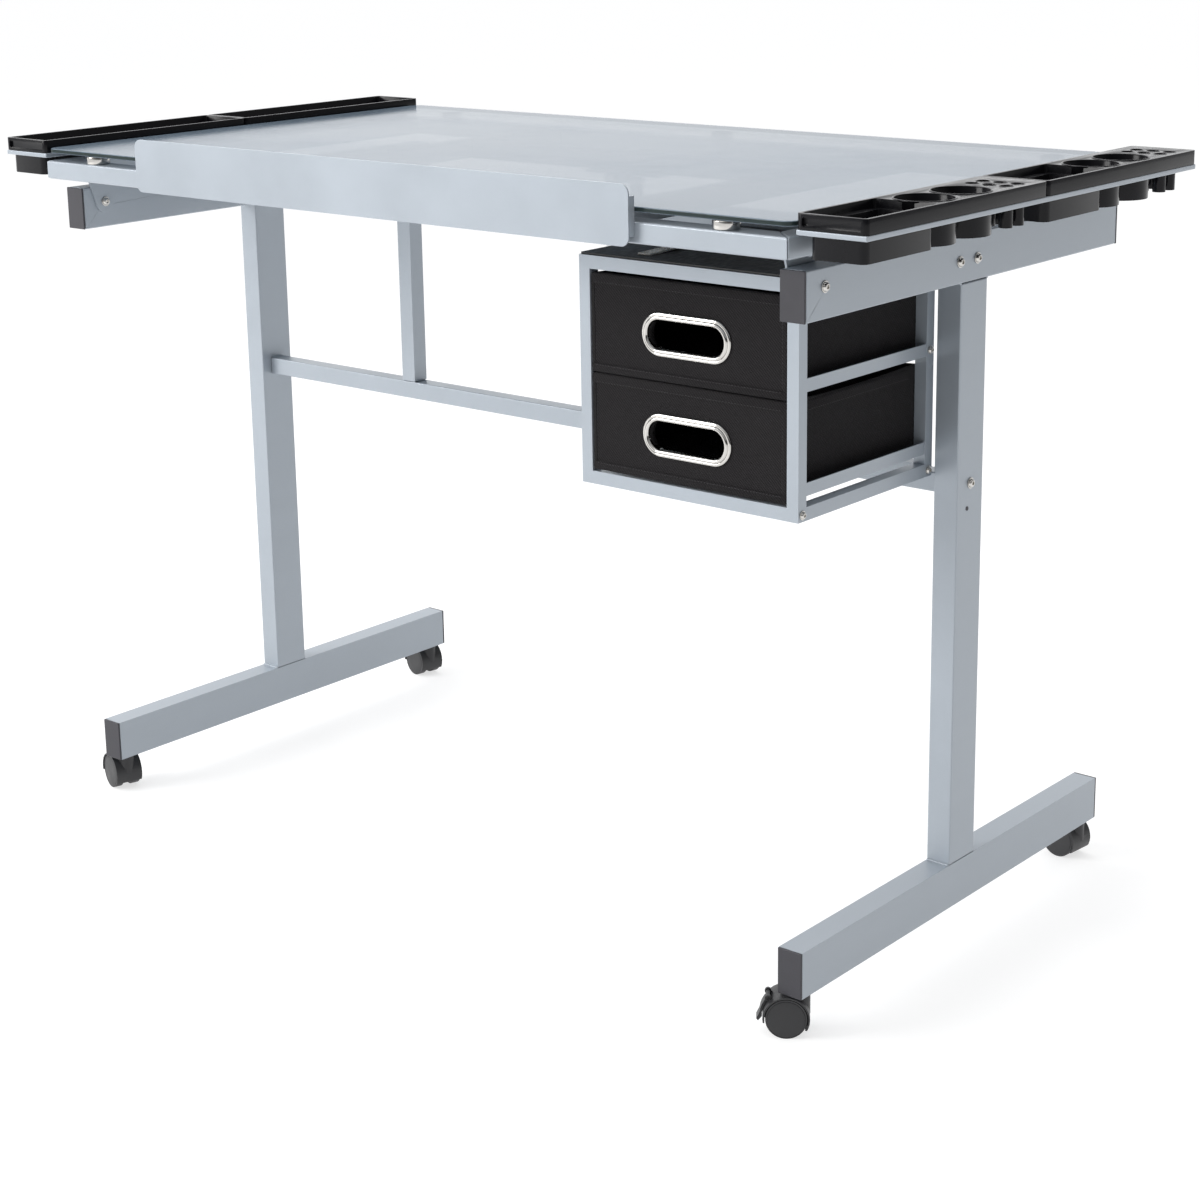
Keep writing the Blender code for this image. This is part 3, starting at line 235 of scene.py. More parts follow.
# ---- Materials ------------------------------------------------------------------
class NodeTree:
    """A node tree, with short ways to add to it."""

    def __init__(self, tree):
        self.tree = tree

    def node(self, kind, **settings):
        made = self.tree.nodes.new(kind)
        for key, value in settings.items():
            setattr(made, key, value)
        return made

    def link(self, source, target):
        self.tree.links.new(source, target)

    def feed(self, socket, value):
        """Links a socket, or sets a plain value."""
        if isinstance(value, bpy.types.NodeSocket):
            self.link(value, socket)
        else:
            socket.default_value = value

    def maths(self, operation, first, second=0.0):
        made = self.node("ShaderNodeMath", operation=operation)
        self.feed(made.inputs[0], first)
        self.feed(made.inputs[1], second)
        return made.outputs[0]

    def between(self, factor, low, high, start=0.0, end=1.0, interpolation="LINEAR"):
        """Maps start to low and end to high."""
        made = self.node("ShaderNodeMapRange", interpolation_type=interpolation)
        self.link(factor, made.inputs["Value"])
        for socket, value in (("From Min", start), ("From Max", end), ("To Min", low), ("To Max", high)):
            made.inputs[socket].default_value = value
        return made.outputs["Result"]


class Surface(NodeTree):
    """A material, with short ways to add what a finish needs."""

    def __init__(self, name, colour, roughness, metallic=0.0):
        self.material = bpy.data.materials.new(name)
        self.material.use_nodes = True
        super().__init__(self.material.node_tree)
        self.shader = self.tree.nodes["Principled BSDF"]
        self.set("Base Color", (*colour[:3], 1.0))
        self.set("Roughness", roughness)
        self.set("Metallic", metallic)
        self.place = self.node("ShaderNodeTexCoord").outputs["Object"]

    def set(self, socket, value):
        self.shader.inputs[socket].default_value = value

    def stretched(self, scale):
        made = self.node("ShaderNodeMapping")
        self.link(self.place, made.inputs["Vector"])
        made.inputs["Scale"].default_value = scale
        return made.outputs["Vector"]

    def noise(self, scale, detail=3.0, roughness=0.55, place=None):
        made = self.node("ShaderNodeTexNoise")
        for socket, value in (("Scale", scale), ("Detail", detail), ("Roughness", roughness)):
            made.inputs[socket].default_value = value
        self.link(place or self.place, made.inputs["Vector"])
        return made.outputs["Fac"]

    def mixed(self, factor, first, second):
        made = self.node("ShaderNodeMix", data_type="RGBA")
        self.feed(made.inputs["Factor"], factor)
        for socket, value in ((made.inputs["A"], first), (made.inputs["B"], second)):
            self.feed(socket, value if isinstance(value, bpy.types.NodeSocket) else (*value[:3], 1.0))
        return made.outputs["Result"]

    def paint(self, colour):
        self.link(colour, self.shader.inputs["Base Color"])

    def rough(self, factor, low, high):
        """Roughness from low to high over the middle of a noise."""
        self.link(self.between(factor, low, high, 0.35, 0.65), self.shader.inputs["Roughness"])

    def bump(self, height, distance, strength=1.0):
        made = self.node("ShaderNodeBump")
        made.inputs["Strength"].default_value = strength
        made.inputs["Distance"].default_value = distance
        self.link(height, made.inputs["Height"])
        previous = self.shader.inputs["Normal"]
        if previous.is_linked:
            self.link(previous.links[0].from_socket, made.inputs["Normal"])
        self.link(made.outputs["Normal"], previous)

    def painted_edge_highlight(self, radius):
        """Mask for a painted highlight along edges: 0 on flat ground, towards 1 where an edge turns within
        radius.
        """
        soft = self.node("ShaderNodeBevel", samples=4)
        soft.inputs["Radius"].default_value = radius
        flat = self.node("ShaderNodeNewGeometry").outputs["Normal"]
        turn = self.node("ShaderNodeVectorMath", operation="DOT_PRODUCT")
        self.link(soft.outputs["Normal"], turn.inputs[0])
        self.link(flat, turn.inputs[1])
        return self.between(turn.outputs["Value"], 1.0, 0.0, 0.80, 0.995)


def scaled(colour, factor):
    return tuple(channel * factor for channel in colour)


def powder_coat():
    colour = colours().paint
    made = Surface("powder_coat", colour, 0.34, 0.28)
    cloud = made.noise(6.0, 4.0, 0.6)
    streak = made.noise(30.0, 3.0, 0.5, made.stretched((1.0, 0.16, 1.0)))
    mottle = made.mixed(made.between(cloud, 0.0, 1.0, 0.3, 0.7), scaled(colour, 0.955), scaled(colour, 1.04))
    mottle = made.mixed(made.between(streak, 0.0, 0.35, 0.45, 0.75), mottle, scaled(colour, 1.07))
    speck = made.noise(2600.0, 1.0, 0.5)
    mottle = made.mixed(made.between(speck, 0.0, 0.22, 0.55, 0.75), mottle, scaled(colour, 1.35))
    # Painted highlight: the paint is made lighter where an edge turns, standing in for light caught by the
    # rounded edges.
    edges = made.painted_edge_highlight(0.0012)
    made.paint(made.mixed(made.maths("MULTIPLY", edges, 0.25), mottle, scaled(colour, 1.28)))
    made.rough(cloud, 0.29, 0.40)
    made.bump(made.noise(420.0, 2.0, 0.5), 0.00006, 0.5)
    made.bump(speck, 0.00002, 0.4)
    made.set("Coat Weight", 0.12)
    made.set("Coat Roughness", 0.18)
    return made.material


def grained_plastic(name, colour, rough_low, rough_high, grain=0.00005):
    made = Surface(name, colour, rough_low)
    cloud = made.noise(35.0, 4.0, 0.6)
    base = made.mixed(made.between(cloud, 0.0, 1.0, 0.3, 0.7), scaled(colour, 0.86), scaled(colour, 1.16))
    # Painted highlight: the plastic is made lighter where an edge turns, standing in for light caught by the
    # rounded edges.
    edges = made.painted_edge_highlight(0.0009)
    made.paint(made.mixed(made.maths("MULTIPLY", edges, 0.35), base, scaled(colour, 1.9)))
    made.rough(cloud, rough_low, rough_high)
    cells = made.node("ShaderNodeTexVoronoi", feature="F1")
    cells.inputs["Scale"].default_value = 1500.0
    made.link(made.place, cells.inputs["Vector"])
    made.bump(cells.outputs["Distance"], grain, 0.5)
    made.bump(made.noise(160.0, 2.0), 0.00006, 0.3)
    return made.material


def gloss_plastic():
    colour = colours().tray
    made = Surface("gloss_plastic", colour, 0.16)
    cloud = made.noise(22.0, 4.0, 0.65)
    made.paint(made.mixed(made.between(cloud, 0.0, 1.0, 0.3, 0.7), scaled(colour, 0.8), scaled(colour, 1.3)))
    scuff = made.noise(90.0, 5.0, 0.7, made.stretched((1.0, 0.25, 1.0)))
    made.rough(scuff, 0.13, 0.27)
    made.bump(made.noise(260.0, 3.0, 0.6), 0.00005, 0.35)
    made.set("Specular IOR Level", 0.18)
    return made.material


def tinted_glass():
    """Tempered glass: pale and half clear through its faces, dark through its edge."""
    colour = colours().glass
    made = Surface("tinted_glass", colour, 0.06)
    normal = made.node("ShaderNodeSeparateXYZ")
    made.link(made.node("ShaderNodeNewGeometry").outputs["True Normal"], normal.inputs["Vector"])
    edge = made.between(made.maths("ABSOLUTE", normal.outputs["Z"]), 1.0, 0.0, 0.35, 0.75)
    film = made.noise(3.5, 4.0, 0.6)
    face = made.mixed(made.between(film, 0.0, 1.0, 0.3, 0.7), scaled(colour, 0.97), scaled(colour, 1.03))
    made.paint(made.mixed(edge, face, colours().glass_edge))
    made.link(made.between(edge, 0.75, 0.97), made.shader.inputs["Alpha"])
    made.rough(film, 0.10, 0.18)
    made.set("Specular IOR Level", 0.20)
    made.bump(made.noise(2.2, 1.0, 0.4), 0.0006, 0.10)
    made.set("IOR", 1.52)
    return made.material


def bright_metal(name, colour, rough_low, rough_high, brushed=0.0):
    made = Surface(name, colour, rough_low, 1.0)
    haze = made.noise(70.0, 4.0, 0.6)
    made.paint(made.mixed(made.between(haze, 0.0, 1.0, 0.3, 0.7), scaled(colour, 0.93), scaled(colour, 1.04)))
    made.rough(haze, rough_low, rough_high)
    made.bump(made.noise(500.0, 3.0, 0.6, made.stretched((1.0, 1.0, 0.1))), 0.00002, 0.06 + brushed)
    return made.material


def cloth(name, colour, lift=1.0):
    """Plain weave: warp and weft cross on every upright face, with slubs and a soft sheen."""
    made = Surface(name, colour, 0.86)
    wave = math.tau / sizes().weave
    split = made.node("ShaderNodeSeparateXYZ")
    made.link(made.place, split.inputs["Vector"])
    across = made.maths("MULTIPLY", made.maths("ADD", split.outputs["X"], split.outputs["Y"]), wave)
    upright = made.maths("MULTIPLY", split.outputs["Z"], wave)
    warp = made.maths("SINE", across)
    weft = made.maths("SINE", upright)
    weave = made.maths("MULTIPLY", warp, weft)
    twill = made.maths("SINE", made.maths("MULTIPLY", made.maths("ADD", across, upright), 0.5))
    slub = made.noise(900.0, 3.0, 0.7)
    wear = made.noise(14.0, 5.0, 0.65)
    base = made.mixed(made.between(weave, 0.0, 1.0, -1.0, 1.0), scaled(colour, 0.35), scaled(colour, 2.1))
    base = made.mixed(made.between(slub, 0.0, 0.6, 0.5, 0.72), base, scaled(colour, 2.6))
    base = made.mixed(made.between(wear, 0.0, 0.35, 0.45, 0.75), base, scaled(colour, 1.8))
    made.paint(base)
    made.rough(wear, 0.80, 0.94)
    made.bump(weave, 0.0005, 0.9 * lift)
    made.bump(twill, 0.0003, 0.5 * lift)
    made.bump(slub, 0.0003, 0.35)
    made.bump(made.noise(26.0, 4.0, 0.6), 0.0012, 0.25)
    made.set("Specular IOR Level", 0.16)
    made.set("Sheen Weight", 0.06)
    made.set("Sheen Roughness", 0.45)
    made.set("Sheen Tint", (0.75, 0.75, 0.8, 1.0))
    return made.material


def board():
    colour = BOARD_COLOUR
    made = Surface("cabinet_board", colour, 0.55)
    fibre = made.noise(260.0, 5.0, 0.7, made.stretched((1.0, 0.3, 1.0)))
    made.paint(made.mixed(fibre, scaled(colour, 0.7), scaled(colour, 1.5)))
    made.rough(fibre, 0.45, 0.65)
    made.bump(fibre, 0.0001, 0.4)
    return made.material


def finish_named(name, build):
    return bpy.data.materials.get(name) or build()


def paint_finish():
    return finish_named("powder_coat", powder_coat)


def chrome_finish():
    return finish_named("bright_chrome", lambda: bright_metal("bright_chrome", colours().chrome, 0.05, 0.12))


def zinc_finish():
    return finish_named("zinc_plate", lambda: bright_metal("zinc_plate", colours().zinc, 0.22, 0.36, 0.2))


def castor_finish():
    return finish_named(
        "castor_nylon", lambda: grained_plastic("castor_nylon", colours().castor, 0.36, 0.52, 0.00007)
    )


def cap_finish():
    return finish_named(
        "cap_plastic", lambda: grained_plastic("cap_plastic", colours().cap, 0.42, 0.56, 0.00009)
    )


def cloth_finish():
    return finish_named("drawer_cloth", lambda: cloth("drawer_cloth", colours().cloth))


def thread_finish():
    return finish_named("stitch_thread", lambda: cloth("stitch_thread", colours().thread, 0.4))


# ---- Modelling ------------------------------------------------------------------
def select_only(obj):
    if bpy.context.mode != "OBJECT":
        bpy.ops.object.mode_set(mode="OBJECT")
    bpy.ops.object.select_all(action="DESELECT")
    obj.select_set(True)
    bpy.context.view_layer.objects.active = obj


def settle(obj, name):
    """Names the object and moves its place into its mesh."""
    obj.name = name
    obj.data.name = name
    select_only(obj)
    bpy.ops.object.transform_apply(location=True, rotation=True, scale=True)
    return obj


def new_box(name, low, high):
    bpy.ops.object.select_all(action="DESELECT")
    centre = (Vector(low) + Vector(high)) / 2
    bpy.ops.mesh.primitive_cube_add(size=1.0, location=centre)
    obj = bpy.context.object
    obj.scale = Vector(high) - Vector(low)
    return settle(obj, name)


def new_rod(name, start, end, radius, sides):
    bpy.ops.object.select_all(action="DESELECT")
    start, end = Vector(start), Vector(end)
    along = end - start
    bpy.ops.mesh.primitive_cylinder_add(
        vertices=sides,
        radius=radius,
        depth=along.length,
        location=(start + end) / 2,
        rotation=along.to_track_quat("Z", "Y").to_euler(),
    )
    return settle(bpy.context.object, name)


def modifier(obj, kind, **settings):
    made = obj.modifiers.new(kind.lower(), kind)
    for key, value in settings.items():
        setattr(made, key, value)
    return made


def apply_modifier(obj, kind, **settings):
    select_only(obj)
    made = modifier(obj, kind, **settings)
    bpy.ops.object.modifier_apply(modifier=made.name)


def round_edges(obj, width, segments=2, angle=40.0):
    apply_modifier(
        obj, "BEVEL", width=width, segments=segments, limit_method="ANGLE", angle_limit=math.radians(angle)
    )


def smooth(obj, angle=35.0):
    select_only(obj)
    bpy.ops.object.shade_smooth_by_angle(angle=math.radians(angle))
    return obj


def dress(obj, surface):
    obj.data.materials.clear()
    obj.data.materials.append(surface)
    return obj


def select_faces(obj, test):
    """Leaves obj in edit mode with just the faces selected whose centre and normal pass the test."""
    select_only(obj)
    bpy.ops.object.mode_set(mode="EDIT")
    bpy.ops.mesh.select_mode(type="FACE")
    bpy.ops.mesh.select_all(action="DESELECT")
    builder = bmesh.from_edit_mesh(obj.data)
    for face in builder.faces:
        face.select = test(face.calc_center_median(), face.normal)
    builder.select_flush_mode()
    bmesh.update_edit_mesh(obj.data)


def joined(name, pieces):
    select_only(pieces[0])
    for piece in pieces[1:]:
        piece.select_set(True)
    bpy.ops.object.join()
    return settle(bpy.context.object, name)


def copied(obj, name, matrix):
    """A copy with its own mesh, moved by a matrix that is taken into that mesh."""
    made = obj.copy()
    made.data = obj.data.copy()
    bpy.context.scene.collection.objects.link(made)
    made.data.transform(matrix)
    made.name = name
    made.data.name = name
    return made


def remove(obj):
    bpy.data.objects.remove(obj, do_unlink=True)


def cut_out(obj, cutter):
    apply_modifier(obj, "BOOLEAN", operation="DIFFERENCE", solver="EXACT", object=cutter)
    remove(cutter)


def move_points(obj, change):
    for vertex in obj.data.vertices:
        vertex.co = change(vertex.co.copy())


def facing(direction):
    """Turns +Z to look along a direction."""
    return Vector(direction).to_track_quat("Z", "Y").to_matrix().to_4x4()


def repeat(obj, count, step):
    """A row of copies in the same mesh, each a step from the last."""
    apply_modifier(
        obj,
        "ARRAY",
        count=count,
        use_relative_offset=False,
        use_constant_offset=True,
        constant_offset_displace=step,
    )


def turn_about(obj, centre, angle):
    """Turns a mesh about the line along Y through centre."""
    there, back = Matrix.Translation(centre), Matrix.Translation(-centre)
    obj.data.transform(there @ Matrix.Rotation(angle, 4, "Y") @ back)


def soften_node(name, surface, width, segments=2, angle=35.0):
    """Gives a CAD node its finish, and rounds its edges without touching its own mesh."""
    node = NODES[name]
    select_only(node)
    if node.data.has_custom_normals:
        bpy.ops.mesh.customdata_custom_splitnormals_clear()
    dress(node, surface)
    node.data.shade_smooth()
    modifier(node, "WELD", merge_threshold=0.00001)
    modifier(
        node,
        "BEVEL",
        width=width,
        segments=segments,
        limit_method="ANGLE",
        angle_limit=math.radians(angle),
        use_clamp_overlap=True,
        miter_outer="MITER_ARC",
    )
    modifier(node, "WEIGHTED_NORMAL", weight=60, keep_sharp=False)


# ---- Frame, top and mouldings -----------------------------------------------------
class TABLE_OT_steel(bpy.types.Operator):
    """Powder-coats the legs, bars, rails, rings and cabinet, and rounds their edges"""

    bl_idname = "table.steel"
    bl_label = "Steel frame"

    def execute(self, context):
        tubes = ("foot_left", "foot_right", "post_left", "post_right", "arm_left", "arm_right", "upper_bar")
        rails = ("lower_bar", "strut_left", "strut_right", "inner_rail_left", "inner_rail_right")
        rails += ("middle_rail", "top_rail_front", "top_rail_rear", "top_rail_left", "top_rail_right")
        groups = (
            (tubes, sizes().tube_edge, 3),
            (rails, sizes().rail_edge, 2),
            (("cabinet_frame", "pencil_ledge"), 0.0006, 2),
            (("tray_ring_left", "tray_ring_right"), 0.0016, 3),
            (("hinge_ear_left", "hinge_ear_right"), 0.0004, 2),
        )
        for names, edge, segments in groups:
            for name in names:
                soften_node(name, paint_finish(), edge, segments)
        soften_node("tilt_prop", zinc_finish(), 0.0004)
        return {"FINISHED"}


class TABLE_OT_caps(bpy.types.Operator):
    """Moulded caps in the ends of the feet and arms, and the board over the drawers"""

    bl_idname = "table.caps"
    bl_label = "Tube caps"

    def execute(self, context):
        for name in NODES:
            if "_cap_" in name:
                soften_node(name, cap_finish(), sizes().plastic_edge, 3)
        soften_node("cabinet_cover", board(), 0.0003)
        return {"FINISHED"}


class TABLE_OT_glass(bpy.types.Operator):
    """The tinted glass and the bright standoffs under it"""

    bl_idname = "table.glass"
    bl_label = "Glass and standoffs"

    def execute(self, context):
        soften_node("glass_top", tinted_glass(), 0.0004)
        for name in NODES:
            if name.startswith("standoff_"):
                standoff(name)
        return {"FINISHED"}


def standoff(name):
    """A turned spacer with a raised ring and a shallow hollow in its top."""
    low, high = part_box(name)
    middle = (low + high) / 2
    radius = (high.x - low.x) / 2
    body = new_rod(f"{name}_turned", (middle.x, middle.y, low.z), (middle.x, middle.y, high.z), radius, 48)
    select_faces(body, lambda centre, normal: normal.z > 0.9)
    bpy.ops.mesh.inset(thickness=radius * 0.12)
    bpy.ops.transform.translate(value=(0, 0, 0.00004))
    bpy.ops.mesh.inset(thickness=radius * 0.2)
    bpy.ops.transform.translate(value=(0, 0, -0.0006))
    bpy.ops.object.mode_set(mode="OBJECT")
    round_edges(body, 0.0007, 3)
    smooth(body)
    dress(body, chrome_finish())
    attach(body, "top")
    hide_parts(name)


# ---- Side trays -----------------------------------------------------------------
def rounded_block(name, low, high, radius):
    """A box whose upright edges are rounded."""
    block = new_box(name, low, high)
    select_only(block)
    bpy.ops.object.mode_set(mode="EDIT")
    bpy.ops.mesh.select_mode(type="EDGE")
    bpy.ops.mesh.select_all(action="DESELECT")
    builder = bmesh.from_edit_mesh(block.data)
    for edge in builder.edges:
        along = edge.verts[0].co - edge.verts[1].co
        edge.select = abs(along.z) > 0.99 * along.length
    bmesh.update_edit_mesh(block.data)
    bpy.ops.mesh.bevel(offset=radius, segments=5, affect="EDGES")
    bpy.ops.object.mode_set(mode="OBJECT")
    return block


def merge_in(obj, others):
    for other in others:
        apply_modifier(obj, "BOOLEAN", operation="UNION", solver="EXACT", object=other)
        remove(other)


def lip_ring(name, centre, radius, thickness):
    bpy.ops.object.select_all(action="DESELECT")
    bpy.ops.mesh.primitive_torus_add(
        major_radius=radius, minor_radius=thickness, major_segments=56, minor_segments=10, location=centre
    )
    return settle(bpy.context.object, name)


def tray_wells(middle, front):
    """Place and radius of each cup and pen well."""
    cups = [(middle, front + row, CUP_RADIUS) for row in CUP_ROWS]
    pens = [
        (middle + column * PEN_SPREAD, front + row, PEN_RADIUS) for row in PEN_ROWS for column in (-1, 0, 1)
    ]
    return cups + pens


def well_cup(x, y, radius, base, top):
    """The outside of a cup or pen well, a little narrower at its foot."""
    pen = radius == PEN_RADIUS
    foot = base + (PEN_FOOT if pen else 0.0)
    wall, sides = (PEN_WALL, PEN_SIDES) if pen else (TRAY_WALL, CUP_SIDES)
    cup = new_rod("cup", (x, y, foot), (x, y, top), radius + wall, sides)
    select_faces(cup, lambda centre, normal: normal.z < -0.9)
    bpy.ops.transform.resize(value=(CUP_TAPER, CUP_TAPER, 1.0), center_override=(x, y, foot))
    bpy.ops.object.mode_set(mode="OBJECT")
    return cup


def moulded_tray(name):
    """One moulding: a rim band with a recessed front, a tub below, and on the right cups and pen wells."""
    low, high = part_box(name)
    right = low.x > 0
    rim_base, above = high.z - RIM_BAND, high.z + CLEAR_CUT
    west = low.x + (TUB_INNER_STEP if right else TUB_OUTER_STEP)
    east = high.x - (TUB_OUTER_STEP if right else TUB_INNER_STEP)
    south = low.y + TUB_OUTER_STEP
    north = south + SHORT_TUB if right else high.y - TUB_OUTER_STEP
    wells = tray_wells((west + east) / 2, low.y) if right else []
    tray = rounded_block(name + "_moulding", (low.x, low.y, rim_base), high, 0.0046)
    top = rim_base + TUB_OVERLAP
    tub = rounded_block("tub", (west, south, low.z), (east, north, top), 0.0075)
    merge_in(tray, [tub] + [well_cup(x, y, radius, low.z, top) for x, y, radius in wells])
    pocket_low = (low.x + RIM_WALL, low.y + RIM_WALL, high.z - RIM_POCKET)
    pocket_high = (high.x - RIM_WALL, north + (TUB_OVERLAP if right else TUB_OUTER_STEP - RIM_WALL), above)
    cut_out(tray, rounded_block("pocket", pocket_low, pocket_high, 0.0030))
    deep_low = (west + TRAY_WALL, south + TRAY_WALL, low.z + TRAY_WALL)
    deep_high = (east - TRAY_WALL, north - TRAY_WALL, above)
    cut_out(tray, rounded_block("pocket", deep_low, deep_high, 0.0058))
    for x, y, radius in wells:
        floor, sides = (PEN_FLOOR, PEN_SIDES) if radius == PEN_RADIUS else (TRAY_WALL, CUP_SIDES)
        cut_out(tray, new_rod("well", (x, y, low.z + floor), (x, y, above), radius, sides))
    ahead = low.y - CLEAR_CUT
    recess_high = (high.x - 0.0065, low.y + 0.0011, high.z - 0.0030)
    cut_out(tray, new_box("recess", (low.x + 0.0075, ahead, rim_base + 0.0026), recess_high))
    slot_high = (low.x + 0.0115, low.y + 0.0034, high.z - 0.0042)
    cut_out(tray, new_box("slot", (low.x + 0.0060, ahead, rim_base + 0.0036), slot_high))
    select_only(tray)
    bpy.ops.object.mode_set(mode="EDIT")
    bpy.ops.mesh.select_all(action="SELECT")
    bpy.ops.mesh.remove_doubles(threshold=0.00002)
    bpy.ops.object.mode_set(mode="OBJECT")
    round_edges(tray, 0.0006, 2, 50.0)
    rings = [
        lip_ring("lip", (x, y, high.z - 0.0002), radius + 0.0008, 0.0005 if radius == PEN_RADIUS else 0.0009)
        for x, y, radius in wells
    ]
    made = joined(name + "_moulding", [tray] + rings)
    smooth(made, 40.0)
    dress(made, finish_named("gloss_plastic", gloss_plastic))
    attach(made, name)
    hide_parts(name)


class TABLE_OT_trays(bpy.types.Operator):
    """The glossy side trays, with cups and pen wells on the right"""

    bl_idname = "table.trays"
    bl_label = "Side trays"

    def execute(self, context):
        for name in ("tray_front_left", "tray_rear_left", "tray_front_right", "tray_rear_right"):
            moulded_tray(name)
        return {"FINISHED"}


# ---- Drawers --------------------------------------------------------------------
def oval(name, length, height, centre, low, high, sides=48):
    """A solid oval with straight sides and round ends, running along Y."""
    radius = height / 2
    stretch = length / 2 - radius
    made = new_rod(name, (centre.x, low, centre.z), (centre.x, high, centre.z), radius, sides)
    turn_about(made, centre, math.pi / sides)
    move_points(made, lambda point: point + Vector((math.copysign(stretch, point.x - centre.x), 0, 0)))
    return made


def panel_board(name, low, high, grip_centre, opening):
    """The drawer's front: board under cloth, with soft edges and a hole for the grip."""
    made = new_box(name, low, high)
    select_faces(made, lambda centre, normal: abs(normal.y) > 0.9)
    bpy.ops.mesh.inset(thickness=0.0022)
    bpy.ops.object.mode_set(mode="OBJECT")
    round_edges(made, 0.0014, 3)
    cut_out(made, oval("hole", *opening, grip_centre, low.y - CLEAR_CUT, high.y + CLEAR_CUT))
    return made


def cloth_bin(name, low, high, wall):
    """The drawer's open box: thin cloth walls whose rims dip between the corners."""
    made = new_box(name, low, high)
    select_faces(made, lambda centre, normal: normal.z > 0.9)
    bpy.ops.mesh.delete(type="FACE")
    bpy.ops.mesh.select_all(action="SELECT")
    bpy.ops.mesh.subdivide(number_cuts=14)
    bpy.ops.object.mode_set(mode="OBJECT")
    middle, size = (low + high) / 2, high - low

    def sag(point):
        across = (point.x - middle.x) / (size.x / 2)
        along = (point.y - middle.y) / (size.y / 2)
        up = (point.z - low.z) / size.z
        swell = math.sin(math.pi * up) * 0.5 + up * 0.5
        if abs(abs(across) - 1) < 1e-4:
            point.x -= math.copysign(SIDE_SWELL * (1 - along * along) * swell, across)
            point.z -= RIM_SAG * (1 - along * along) * up
        if abs(along - 1) < 1e-4:
            point.y -= REAR_SWELL * (1 - across * across) * swell
            point.z -= RIM_SAG * (1 - across * across) * up
        return point

    move_points(made, sag)
    apply_modifier(made, "SOLIDIFY", thickness=wall, offset=-1.0)
    round_edges(made, 0.0010, 2, 60.0)
    return made


def hem_band(name, low, high):
    band = new_box(name, low, high)
    round_edges(band, 0.00045, 2)
    return band


def stitch_row(name, start, end):
    """A row of stitches from start to end, each a short thread lying on the cloth."""
    start, end = Vector(start), Vector(end)
    along = (end - start).normalized()
    count = max(2, int((end - start).length / sizes().stitch_pitch))
    pitch = (end - start).length / count
    lead = 0.0004
    stitch = new_rod(name, start + along * lead, start + along * (lead + STITCH_LENGTH), STITCH_RADIUS, 6)
    round_edges(stitch, STITCH_RADIUS * 0.6, 1)
    repeat(stitch, count, along * pitch)
    return stitch


def drawer_hems(node, low, high, bin_low, bin_high):
    """The panel's upper and lower hems and its bound edges, and a tape along each side of the box's rim."""
    front, hem = low.y, sizes().hem
    bands = []
    for base, top in ((high.z - hem, high.z - 0.0004), (low.z + 0.0004, low.z + hem * LOWER_HEM)):
        band_low = (low.x + HEM_INSET, front - HEM_PROUD, base)
        bands.append(hem_band(f"{node}_hem", band_low, (high.x - HEM_INSET, front + HEM_BITE, top)))
    for side, wall in ((-1, low.x), (1, high.x)):
        across = sorted((wall - side * HEM_INSET, wall - side * BINDING_WIDTH))
        band_low = (across[0], front - HEM_PROUD * 0.6, low.z + hem * LOWER_HEM)
        bands.append(hem_band(f"{node}_edge", band_low, (across[1], front + HEM_BITE, high.z - hem)))
    for side, wall in ((-1, bin_low.x), (1, bin_high.x)):
        across = sorted((wall - side * 0.0012, wall + side * 0.0002))
        band_low = (across[0], front + PANEL_THICKNESS + TAPE_START, bin_high.z - TAPE_LOW)
        band_high = (across[1], bin_high.y - TAPE_START, bin_high.z - TAPE_HIGH)
        bands.append(hem_band(f"{node}_rim", band_low, band_high))
    return bands


def drawer_stitches(node, low, high, bin_low, bin_high):
    """Stitch rows along the panel's hems and edges, and along the box's tapes."""
    hem = sizes().hem
    face, edge_face = low.y - HEM_PROUD - 0.0001, low.y - 0.0001
    row = f"{node}_row"
    rows = []
    for z in (high.z - hem + 0.0014, low.z + hem * LOWER_HEM - 0.0014):
        rows.append(stitch_row(row, (low.x + 0.005, face, z), (high.x - 0.005, face, z)))
    for x in (low.x + 0.0050, high.x - 0.0050):
        rows.append(stitch_row(row, (x, edge_face, low.z + 0.011), (x, edge_face, high.z - 0.012)))
    seam, start, end = bin_high.z - 0.0128, low.y + PANEL_THICKNESS + 0.014, bin_high.y - 0.014
    for x in (bin_low.x - 0.0003, bin_high.x + 0.0003):
        rows.append(stitch_row(row, (x, start, seam), (x, end, seam)))
    return rows


def cloth_drawer(level):
    """One drawer: a covered panel, a cloth box behind it, hems and stitches."""
    node = f"drawer_{level}"
    low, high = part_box(node)
    grip_low, grip_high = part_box(f"drawer_grip_{level}")
    centre = (grip_low + grip_high) / 2
    front, base = low.y, low.z + BIN_BASE
    opening = (grip_high.x - grip_low.x - 0.017, grip_high.z - grip_low.z - 0.008)
    panel_high = Vector((high.x, front + PANEL_THICKNESS, high.z))
    panel = panel_board(f"{node}_panel", low, panel_high, centre, opening)
    bin_low = Vector((low.x + 0.0004, front + PANEL_THICKNESS * 0.6, base))
    bin_high = Vector((high.x - 0.0004, high.y, base + BIN_HEIGHT))
    body = cloth_bin(f"{node}_bin", bin_low, bin_high, BIN_WALL)
    cut_out(body, oval("passage", *opening, centre, front - CLEAR_CUT, front + PANEL_THICKNESS + TAPE_START))
    fabric = joined(f"{node}_cloth", [panel, body, *drawer_hems(node, low, high, bin_low, bin_high)])
    smooth(fabric, 40.0)
    dress(fabric, cloth_finish())
    thread = joined(f"{node}_stitches", drawer_stitches(node, low, high, bin_low, bin_high))
    smooth(thread)
    dress(thread, thread_finish())
    for piece in (fabric, thread):
        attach(piece, node)
    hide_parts(node)


